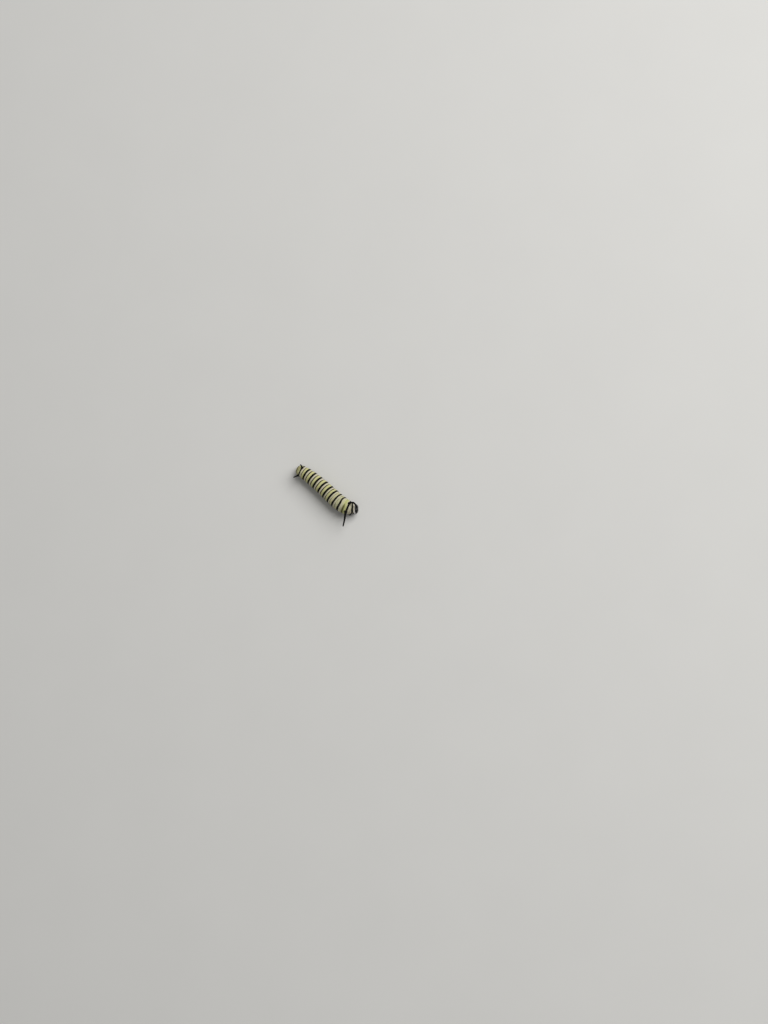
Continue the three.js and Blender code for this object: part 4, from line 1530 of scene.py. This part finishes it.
    def stripe_edge(self, point: Vector) -> float:
        """How far a point lies inside a pale stripe, in millimetres."""
        foot = self.outer_foot * ramp(point.z, *self.outer_foot_heights)
        outer_middle = self.outer_back + self.outer_slope * (self.outer_top - point.z) - foot
        outer_half = blend(*self.outer_halves, ramp(point.z, *self.outer_heights)) + foot
        outer = min(outer_half - abs(point.x - outer_middle) * 0.86, (point.z - self.outer_end) * 0.8)
        inner_middle = self.inner_place + (self.inner_height - point.z) * self.inner_slope
        low, high = self.inner_ends
        inner = self.inner_half - abs(abs(point.y) - inner_middle) * 0.9
        return max(outer, min(inner, (high - point.z) * 0.6, (point.z - low) * 0.8, point.x * 0.8))

    def capsule(self) -> Form:
        """The head capsule with its seams, open below for the mouth."""
        form = Form("stripe_edge", "paleness")
        bmesh.ops.create_uvsphere(form.bm, u_segments=self.sides, v_segments=self.loops, radius=1.0)
        for vert in form.bm.verts:
            vert.co = self.surface(vert.co.normalized())
        everything = [*form.bm.verts, *form.bm.edges, *form.bm.faces]
        bmesh.ops.bisect_plane(
            form.bm, geom=everything, plane_co=(0, 0, self.mouth_level), plane_no=(0, 0, -1), clear_outer=True
        )
        for vert in form.bm.verts:
            form.mark([vert], stripe_edge=self.stripe_edge(vert.co), paleness=0.0)
        rim = [e for e in form.bm.edges if e.is_boundary]
        for shrink, rise in self.RIM:
            level = self.mouth_level + rise
            rim = form.extrude_rim(rim, lambda p: Vector((p.x * shrink, p.y * shrink, level)))
            verts = {v for e in rim for v in e.verts}
            form.mark(verts, stripe_edge=Markings.OUTSIDE, paleness=self.rim_paleness)
        bmesh.ops.contextual_create(form.bm, geom=rim)
        return form.moved(self.matrix)

    def eyes(self, side: Side) -> Form:
        """Six domed lenses, each in a low rim."""
        form = Form()
        middle = self.seat(side.point(*self.eye_toward))
        profile = [(self.eye_lens * share, height) for share, height in self.EYE_PROFILE]
        for angle in map(radians, self.EYE_ANGLES):
            offset = side.point(cos(angle), sin(angle), 0) * self.eye_arc
            form.lathe(profile, self.seat(middle @ offset), self.eye_sides, self.eye_top)
        return form.moved(self.matrix)

    @staticmethod
    def _rounded(share: float, edge: float = 0.16) -> float:
        """A factor that rounds both ends of a joint."""
        inset = min(share, 1 - share) / edge
        return 1.0 if inset >= 1 else sqrt(max(0.0, 1 - (1 - inset) ** 2)) * 0.55 + 0.45

    def _joint(
        self, form: Form, ends: Sequence[Vector], radii: Sequence[float], tone: float, steps: int, sides: int
    ) -> None:
        """Adds a straight joint with rounded ends to the form, by its radii at both ends and its paleness."""
        rings = form.sweep(Curve(*ends), lambda t: blend(*radii, t) * self._rounded(t), steps, sides)
        form.mark(chain(*rings), paleness=tone)

    def antenna(self, side: Side) -> Form:
        """A short feeler of three joints that slide into each other, with two pegs at its end."""
        form = Form("paleness")
        root, tip = side.point(*self.antenna_root), side.point(*self.antenna_tip)
        for start, end, radii, tone in self.ANTENNA_JOINTS:
            self._joint(form, [root.lerp(tip, start), root.lerp(tip, end)], radii, tone, 8, 16)
        aside = side.point(*self.peg_aside)
        for end, offset in zip(self.peg_ends, (aside, -aside)):
            ends = [root.lerp(tip, share) + offset for share in (self.peg_start, end)]
            self._joint(form, ends, [self.peg_radius] * 2, 0.0, 5, 8)
        return form.moved(self.matrix)

    def labrum(self) -> Form:
        """The upper lip: a curved plate with a notch in its lower edge."""
        form = Form("paleness")
        outline = [*self.LABRUM, *((-y, z) for y, z in reversed(self.LABRUM[1:-1]))]
        plate = form.bm.faces.new([form.bm.verts.new((0, y, z)) for y, z in outline])
        grown = bmesh.ops.extrude_face_region(form.bm, geom=[plate])["geom"]
        for vert in (item for item in grown if isinstance(item, Vert)):
            vert.co.x = self.labrum_thickness
        half = self.labrum_thickness / 2
        rims = [e for e in form.bm.edges if abs(e.verts[0].co.x - e.verts[1].co.x) < half]
        bmesh.ops.bevel(
            form.bm, geom=rims, offset=self.labrum_bevel, offset_type="OFFSET", segments=3, affect="EDGES",
            profile=0.5, material=-1,
        )
        plates = [f for f in form.bm.faces if len(f.verts) > 4]
        bmesh.ops.inset_region(form.bm, faces=plates, thickness=self.labrum_inset, depth=self.labrum_sunk)
        bmesh.ops.triangulate(form.bm, faces=[f for f in form.bm.faces if len(f.verts) > 4])
        lean = Matrix.Rotation(radians(self.labrum_lean), 3, "Y")
        for vert in form.bm.verts:
            x, y, z = vert.co
            tone = 0.9 * ramp(-z, 0.64, 0.76) + 0.8 * ramp(abs(y), 0.15, 0.24)
            tone += 0.8 * bell(z + 0.5, 0.03) + 0.5 * (1 - ramp(x, 0.08, self.labrum_thickness))
            form.mark([vert], paleness=min(1.0, tone))
            vert.co = lean @ vert.co + Vector((self.labrum_ahead - y**2 * self.labrum_bow, 0, 0))
        return form.moved(self.matrix).smoothed()

    def mandible(self, side: Side) -> Form:
        """One jaw: a short scoop whose inner edge has teeth."""
        form = Form("paleness")
        for vert in form.ball(self.jaw_half, Vector(), 28, 20):
            x, y, z = vert.co
            lower = ramp(-z, -0.02, 0.22)
            teeth = self.jaw_teeth * lower * ramp(-y, -0.02, 0.12) * cos(x * self.teeth_per_mm)
            form.mark([vert], paleness=self.jaw_paleness * (1 - lower))
            shaped = Vector((x * (1 - self.jaw_narrows * lower), y - self.jaw_leans * lower, z - teeth))
            vert.co = side.point(*(shaped + Vector(self.jaw_centre)))
        return form.moved(self.matrix)

    def labium(self) -> Form:
        """The lower lip with its silk tube, between the two jointed palps of the maxillae."""
        form = Form("paleness")
        form.mark(form.ball(self.lip_half, Vector(self.lip_centre), 24, 16), paleness=0.3)
        start, lean = Vector(self.tube_start), radians(self.tube_lean)
        end = start - Vector((sin(lean), 0, cos(lean))) * self.tube_length
        tube = form.sweep(Curve(start, end), lambda t: blend(*self.tube_radii, t), 8, 14)
        form.mark(chain(*tube), paleness=0.75)
        for side in Side:
            maxilla = form.ball(self.maxilla_half, side.point(*self.maxilla_centre), 20, 14)
            form.mark(maxilla, paleness=0.2)
            root, along = side.point(*self.palp_root), side.point(*self.palp_lean).normalized()
            for reached, length, radius, tone in self.PALP_JOINTS:
                ends = [root + along * reached, root + along * (reached + length)]
                self._joint(form, ends, (radius, radius), tone, 6, 14)
            palp = side.point(*self.small_palp)
            ends = [palp, palp + side.point(*self.small_palp_reach)]
            self._joint(form, ends, [self.small_palp_radius] * 2, 0.7, 6, 10)
        return form.moved(self.matrix)


@dataclass
class Leg:
    """One jointed leg, from its root in the flank to its claw on the floor.

    The knee and the ankle are millimetres ahead of the root and outside it, and their height over the floor.
    """

    trunk: Trunk
    side: Side
    name: str
    segment: str
    fraction: float
    angle: float
    knee: Triple
    ankle: Triple

    # The leg's radius at shares of its length, narrowest at the joints
    RADII = (
        (0.0, 0.2), (0.3, 0.215), (0.4, 0.2), (0.44, 0.15), (0.5, 0.14), (0.58, 0.138), (0.64, 0.13),
        (0.66, 0.098), (0.72, 0.112), (0.8, 0.1), (0.84, 0.09), (0.86, 0.068), (0.91, 0.078), (0.96, 0.066),
        (1.0, 0.04),
    )
    root_depth: float = 0.3
    steps: int = 64
    sides: int = 24
    # The claw's way, as millimetres ahead of the ankle and outside it, and its height over the floor
    CLAW = ((-0.01, 0.0, 0.18), (0.05, -0.01, 0.12), (0.075, -0.03, 0.06), (0.055, -0.05, 0.012))
    claw_radii: Pair = (0.036, 0.004)
    # How many loops it has, less one, how many sides, and its thickness as a share of its width
    CLAW_LOOPS = (14, 12, 0.8)

    def __post_init__(self) -> None:
        """Finds the leg's root and its way down."""
        section = self.trunk.section(self.trunk.place(self.segment, self.fraction))
        self.root = section.point(self.angle * self.side.value)
        self.out = section.left * self.side.value
        self.ahead = section.ahead
        inward = (section.centre - self.root).normalized() * self.root_depth
        self.curve = Curve(self.root + inward, self.root, self.reach(*self.knee), self.reach(*self.ankle))

    @property
    def node(self) -> str:
        """The name of the leg's node."""
        return f"leg_{self.name}_{self.side.label}"

    def reach(self, ahead: float, out: float, height: float) -> Vector:
        """A point ahead of and outside the root, at a height over the floor."""
        point = self.root + self.ahead * ahead + self.out * out
        point.z = height
        return point

    def radius(self, share: float) -> float:
        """The leg's radius at a share of its length, pinched at the joints."""
        for (low, start), (high, end) in pairwise(self.RADII):
            if share <= high:
                return blend(start, end, ramp(share, low, high))
        return self.RADII[-1][1]

    def point(self, share: float, turn: float) -> SkinPoint:
        """A point on the leg's shell, at a share of its length and a turn in radians."""
        ahead = self.curve.direction(share)
        out = Quaternion(ahead, turn) @ ahead.orthogonal().normalized()
        return self.curve.point(share) + out * self.radius(share), out, ahead

    def build(self) -> Form:
        """The leg with its claw."""
        form = Form("paleness")
        for number, ring in enumerate(form.sweep(self.curve, self.radius, self.steps, self.sides)):
            share = number / self.steps
            form.mark(ring, paleness=0.5 * bell(share - 0.43, 0.02) + 0.3 * ramp(share, 0.8, 1))
        ahead, out, _ = self.ankle
        points = [self.reach(ahead + further, out + aside, height) for further, aside, height in self.CLAW]
        rings = form.sweep(Curve(*points), lambda t: blend(*self.claw_radii, t**0.9), *self.CLAW_LOOPS)
        for number, ring in enumerate(rings):
            form.mark(ring, paleness=0.4 + 0.5 * number / len(rings))
        return form


# Each pair of jointed legs: its name and segment, the place on it and the angle of its roots, its knees and
# its ankles
LEGS = (
    ("front", "prothorax", 0.2, 132, (0.16, 0.2, 0.44), (0.32, 0.1, 0.16)),
    ("middle", "mesothorax", 0.52, 138, (0.12, 0.18, 0.46), (0.3, 0.1, 0.16)),
    ("rear", "metathorax", 0.5, 138, (0.1, 0.16, 0.46), (0.26, 0.08, 0.16)),
)


class Bristles:
    """Fine bristles joined into one mesh, each with a small patch of its own on the unwrap of the skin."""

    SIDES = 4
    # The radius and the height of each loop, as shares of the root's radius and of the length
    PROFILE = ((1.0, 0.0), (0.78, 0.4), (0.45, 0.75))
    PATCH = 0.003

    def __init__(self) -> None:
        """Shapes the straight bristle that each one is a copy of."""
        self.form = Form("paleness")
        self.unwrap = self.form.bm.loops.layers.uv.new("OFBake")
        pattern = Form("paleness")
        pattern.lathe(self.PROFILE, Matrix.Identity(4), self.SIDES, 1.0)
        self.pattern = pattern.baked("bristle pattern")

    def add(
        self, root: Vector, out: Vector, length: float, radius: float, lean: Vector, place: Pair
    ) -> None:
        """Adds one bristle.

        Args:
            root: Where it grows, in millimetres.
            out: The direction that it starts in.
            length: Its length.
            radius: Its radius at the root.
            lean: How far its tip bends aside.
            place: Its root's place on the unwrap.
        """
        bm = self.form.bm
        first_vert, first_face = len(bm.verts), len(bm.faces)
        bm.from_mesh(self.pattern)
        bm.verts.ensure_lookup_table()
        bm.faces.ensure_lookup_table()
        across = out.orthogonal().normalized()
        over = out.cross(across)
        u, v = place
        for loop in chain(*(face.loops for face in bm.faces[first_face:])):
            x, y, z = loop.vert.co
            turn = atan2(y, x) / tau
            loop[self.unwrap].uv = (u + (z - 0.5) * self.PATCH, v + turn * self.PATCH)
        for vert in bm.verts[first_vert:]:
            x, y, z = vert.co
            vert[self.form.layers["paleness"]] = z
            vert.co = root + (across * x + over * y) * radius + out * z * length + lean * z * z


@dataclass
class Coat:
    """The larva's sparse fine bristles, the hooks of its soles and its breathing holes."""

    trunk: Trunk
    skin: BodySkin
    head: Head
    legs: list[Leg]

    seed: int = 11
    root_depth: float = 0.012
    radius: float = 0.0052
    # The unwrap's margin, and the share of it that the trunk's strip takes
    margin: float = 0.01
    trunk_strip: float = 0.8
    ROWS = (8, 24, 52, 66, 84, 102, 116, 128, 142)
    row_places: Pair = (0.3, 0.62)
    row_thickness: float = 1.25
    sparse_per_mm: int = 120
    sparse_from_end: float = 0.12
    sparse_round: int = 150
    HEAD_BRISTLES = 84
    head_radius: float = 0.0075
    head_spacing: float = 0.11
    head_back: float = -0.25
    head_over_mouth: float = 0.06
    head_lean: Triple = (0.25, 0, -0.35)
    head_droop: Triple = (0, 0, -0.2)
    leg_bristles: int = 36
    limb_depth: float = 0.008
    limb_radius: float = 0.00416
    limb_lean: float = 0.2
    # For limbs and for jointed legs: between which shares of the length they grow, and between which lengths
    LIMB_RANGES = ((0.06, 0.97), (0.03, 0.07))
    LEG_RANGES = ((0.42, 0.98), (0.06, 0.12))
    hooks: int = 15
    hooks_from: int = -105
    hook_inset: float = 0.93
    hook_height: float = 0.042
    hook_length: float = 0.055
    hook_radius: float = 0.009
    SPIRACLE_SEGMENTS = ("prothorax", *(f"abdomen_{n}" for n in range(1, 9)))
    LARGE_SPIRACLES = ("prothorax", "abdomen_8")
    spiracle_sizes: Pair = (0.05, 0.062)
    spiracle_angle: int = 93
    spiracle_squeeze: float = 0.62
    # The rim, then the slit inside it: the radius as a share of the size, and the height in millimetres
    SPIRACLE_RIM = ((0.9, -0.03), (1.0, 0.0), (0.92, 0.012), (0.7, 0.014))
    SPIRACLE_SLIT = ((0.5, 0.004), (0.3, -0.008))
    spiracle_paleness: float = 0.35

    def __post_init__(self) -> None:
        """Seeds the random draws."""
        self.random = random.Random(self.seed)

    def _jitter(self, reach: float) -> Vector:
        """A random vector within a cube of the given half size."""
        return Vector(self.random.uniform(-reach, reach) for _ in range(3))

    def _unwrapped(self, share: float) -> float:
        """A share of the way over the unwrap, inside its margins."""
        return self.margin + (1 - 2 * self.margin) * share

    def on_trunk(self, distance: float, angle: float) -> tuple[Vector, Vector]:
        """A point just under the skin as it is shown, and the direction out of it."""
        out = self.trunk.outward(distance, angle)
        depth = self.skin.relief(distance, angle) - self.root_depth
        return self.trunk.section(distance).point(angle) + out * depth, out

    def body_bristles(self) -> Form:
        """Bristles on the trunk: a few longer ones in rows across each segment, and many short ones."""
        coat = Bristles()
        uniform = self.random.uniform
        for segment in SEGMENTS[1:]:
            for row in self.ROWS:
                for side in Side:
                    for fraction in self.row_places:
                        place = self.trunk.place(segment.name, fraction + uniform(-0.06, 0.06))
                        angle = (row + uniform(-4, 4)) * side.value
                        self._plant(coat, place, angle, uniform(0.11, 0.17), self.row_thickness)
        for _ in range(round(self.sparse_per_mm * self.trunk.length)):
            place = uniform(self.sparse_from_end, self.trunk.length - self.sparse_from_end)
            angle = uniform(-self.sparse_round, self.sparse_round)
            self._plant(coat, place, angle, uniform(0.045, 0.1), uniform(0.7, 1.0))
        return coat.form

    def _plant(self, coat: Bristles, distance: float, angle: float, length: float, thickness: float) -> None:
        """Plants one bristle on the trunk, leaning a little toward the tail."""
        root, out = self.on_trunk(distance, angle)
        back = -self.trunk.section(distance).forward
        jitter = self._jitter(0.25)
        direction = (out + back * self.random.uniform(0.15, 0.55) + jitter).normalized()
        lean = back * length * self.random.uniform(0.05, 0.25)
        around = (angle + 180) / 360 * (self.trunk_strip - 2 * self.margin)
        place = (self._unwrapped(distance / self.trunk.length), self.margin + around)
        coat.add(root, direction, length, self.radius * thickness, lean, place)

    def head_bristles(self) -> Form:
        """Longer bristles on the head, with a few on the upper lip."""
        coat = Bristles()
        turn = self.head.matrix.to_3x3()
        planted: list[Vector] = []
        while len(planted) < self.HEAD_BRISTLES:
            out = Vector(self.random.gauss(0, 1) for _ in range(3)).normalized()
            point = self.head.surface(out)
            clear = all((point - other).length > self.head_spacing for other in planted)
            on_shell = out.x > self.head_back and point.z > self.head.mouth_level + self.head_over_mouth
            if not (clear and on_shell):
                continue
            planted.append(point)
            normal = self.head.outward(point)
            length = self.random.uniform(0.1, 0.2)
            direction = (normal + Vector(self.head_lean) + self._jitter(0.2)).normalized()
            place = [0.5 + turned * (1 - 2 * self.margin) for turned in (
                atan2(out.y, out.x) / tau, asin(out.z) / pi
            )]
            root = self.head.matrix @ (point - normal * self.root_depth)
            lean = turn @ Vector(self.head_droop) * length
            coat.add(root, turn @ direction, length, self.head_radius, lean, place)
        return coat.form

    def limb_bristles(self) -> Form:
        """Short bristles on the filaments, the false legs and the jointed legs, leaning to their tips."""
        coat = Bristles()
        limbs = [(limb.point, limb.bristles, *self.LIMB_RANGES) for limb in self.skin.limbs]
        limbs += [(leg.point, self.leg_bristles, *self.LEG_RANGES) for leg in self.legs]
        strip = (1 - self.trunk_strip) / len(limbs)
        for number, (point, count, shares, lengths) in enumerate(limbs):
            for _ in range(count):
                share, length = self.random.uniform(*shares), self.random.uniform(*lengths)
                turn = self.random.uniform(0, tau)
                root, out, ahead = point(share, turn)
                direction = (out + ahead * self.random.uniform(0.4, 0.9)).normalized()
                around = self.trunk_strip + strip * (number + 0.2 + 0.6 * turn / tau)
                place = (self._unwrapped(share), around)
                lean = ahead * length * self.limb_lean
                coat.add(root - out * self.limb_depth, direction, length, self.limb_radius, lean, place)
        return coat.form

    def sole_hooks(self) -> Form:
        """Rows of tiny hooks round the inner half of each sole."""
        coat = Bristles()
        for number, foot in enumerate(self.skin.feet):
            for step in range(self.hooks):
                passed = step / (self.hooks - 1)
                turn = radians(blend(self.hooks_from, -self.hooks_from, passed))
                ahead, inward = foot.forward * sin(turn), -foot.outward * cos(turn)
                root = foot.middle + (ahead * foot.half_along + inward * foot.half_across) * self.hook_inset
                root.z = self.hook_height
                out = (ahead + inward).normalized()
                place = (self._unwrapped(passed), 0.02 + 0.96 * number / len(self.skin.feet))
                lean = Vector((0, 0, -0.03)) - out * 0.012
                direction = (out + Vector((0, 0, 0.25))).normalized()
                coat.add(root, direction, self.hook_length, self.hook_radius, lean, place)
        return coat.form

    def spiracles(self) -> Form:
        """The breathing holes: a small oval rim round a dark slit, low on each side of nine segments."""
        form = Form("paleness")
        for name in self.SPIRACLE_SEGMENTS:
            distance = self.trunk.place(name, 0.5)
            size = self.spiracle_sizes[name in self.LARGE_SPIRACLES]
            profile = [(size * share, height) for share, height in (*self.SPIRACLE_RIM, *self.SPIRACLE_SLIT)]
            forward = self.trunk.section(distance).forward
            for side in Side:
                seat, out = self.on_trunk(distance, self.spiracle_angle * side.value)
                along = (forward - out * forward.dot(out)).normalized()
                place = set_up(
                    seat + out * self.root_depth, along * self.spiracle_squeeze, out.cross(along), out
                )
                rings = form.lathe(profile, place, 18)
                form.mark(chain(*rings[: len(self.SPIRACLE_RIM)]), paleness=self.spiracle_paleness)
        return form


@dataclass
class Studio:
    """The pale floor, the soft light and the camera, at the photograph's angle."""

    workshop: Workshop

    # The point of the back that lies on a known pixel of the image
    anchor: Triple = (0.7, 0, 2.2)
    anchor_pixel: Pair = (298.43, 470.47)
    image_size: Pair = (768, 1024)
    pixel_mm: float = 0.155
    elevation: float = 75.5
    heading_on_image: float = 39.3
    lens: float = 60.0
    sensor: float = 36.0
    clip: Pair = (0.01, 20.0)
    floor_half: float = 1.5
    floor_tone: Colour = colour(232, 231, 227)
    floor_shade: float = 0.96
    # Each light's name, place, size and power
    LIGHTS = (("key", (0.1, 0.32, 0.36), 0.4, 2.05), ("fill", (0.35, -0.35, 0.3), 0.5, 0.06))
    sky_tone: Colour = colour(243, 243, 243)
    sky_strength: float = 0.24

    def build(self) -> None:
        """Makes the floor, the lights and the camera."""
        self._build_camera()
        self._build_floor()
        self._build_lights()

    def _build_camera(self) -> None:
        """Looks down on the larva so that it lies in the frame where the photograph has it."""
        tilt, turn = radians(self.elevation), radians(self.heading_on_image)
        ahead = Vector((sin(tilt), 0, -cos(tilt)))
        right_side = Vector((0, -1, 0))
        right = ahead * cos(turn) - right_side * sin(turn)
        down = ahead * sin(turn) + right_side * cos(turn)
        view = Vector((-cos(tilt), 0, -sin(tilt)))
        x, y = [(at - size / 2) * self.pixel_mm for at, size in zip(self.anchor_pixel, self.image_size)]
        depth = self.pixel_mm * self.lens / self.sensor * max(self.image_size)
        ray = (right * x + down * y + view * depth).normalized()
        spin = ray.rotation_difference(view).to_matrix()
        place = self.workshop.to_frame @ (Vector(self.anchor) - view * depth / ray.dot(view))
        camera = bpy.data.cameras.new("camera")
        camera.lens = self.lens
        camera.sensor_width = self.sensor
        camera.clip_start, camera.clip_end = self.clip
        holder = show("camera", camera)
        holder.matrix_world = set_up(place, spin @ right, spin @ -down, spin @ -view)
        bpy.context.scene.camera = holder

    def _build_floor(self) -> None:
        """Lays the floor."""
        form = Form()
        bmesh.ops.create_grid(form.bm, x_segments=1, y_segments=1, size=self.floor_half)
        graph = Graph("floor")
        shade = (*(self.floor_shade * v for v in self.floor_tone[:3]), 1.0)
        graph.shade(Base_Color=graph.mix(graph.noise(0.08, 3), self.floor_tone, shade), Roughness=0.75)
        floor = show("floor", form.baked("floor"))
        floor.data.materials.append(graph.material)

    def _build_lights(self) -> None:
        """Sets a large soft light over the larva's left, a low one behind its right and an even sky."""
        for name, place, size, power in self.LIGHTS:
            light = bpy.data.lights.new(name, "AREA")
            light.size = size
            light.energy = power
            holder = show(name, light)
            holder.location = place
            holder.rotation_mode = "QUATERNION"
            holder.rotation_quaternion = Vector(place).to_track_quat("Z", "Y")
        world = bpy.data.worlds.new("sky")
        world.use_nodes = True
        sky = world.node_tree.nodes["Background"]
        sky.inputs["Color"].default_value = self.sky_tone
        sky.inputs["Strength"].default_value = self.sky_strength
        bpy.context.scene.world = world
        bpy.context.scene.view_settings.view_transform = "Standard"


def main() -> None:
    """Builds the larva, the floor, the lights and the camera."""
    logging.basicConfig(level=logging.INFO, format="%(message)s")
    trunk = Trunk()
    shop = Workshop(trunk)
    Studio(shop).build()
    skin = BodySkin(trunk, Markings(trunk))
    flesh = [s.name for s in SEGMENTS]
    flesh += [f"proleg_{n[-1]}_{side.label}" for n in BodySkin.PROLEG_SEGMENTS for side in Side]
    flesh += [f"clasper_{side.label}" for side in Side]
    flesh += [f"filament_{filament.name}" for filament in BodySkin.FILAMENTS]
    shop.finish(skin.build(), "body_skin", SkinFinish(), flesh)

    head = Head(trunk)
    shell, mouth, lens, bristle = CuticleFinish(), MouthFinish(), LensFinish(), BristleFinish()
    shop.finish(head.capsule(), "head_shell", CuticleFinish("head shell", striped=True), ["head_capsule"])
    shop.finish(head.labrum(), "upper_lip", mouth, ["labrum"])
    shop.finish(head.labium(), "lower_lip", mouth, ["labium"])
    for side in Side:
        shop.finish(head.eyes(side), f"lenses_{side.label}", lens, [f"eyes_{side.label}"])
        shop.finish(head.antenna(side), f"feeler_{side.label}", shell, [f"antenna_{side.label}"])
        shop.finish(head.mandible(side), f"jaw_{side.label}", shell, [f"mandible_{side.label}"])
    legs = [Leg(trunk, side, *plan) for plan in LEGS for side in Side]
    for leg in legs:
        shop.finish(leg.build(), f"{leg.node}_shell", shell, [leg.node])
    coat = Coat(trunk, skin, head, legs)
    shop.finish(coat.body_bristles(), "body_bristles", bristle)
    shop.finish(coat.head_bristles(), "head_bristles", bristle)
    shop.finish(coat.limb_bristles(), "limb_bristles", bristle)
    shop.finish(coat.sole_hooks(), "sole_hooks", bristle)
    shop.finish(coat.spiracles(), "spiracles", shell)


if __name__ == "__main__":
    main()
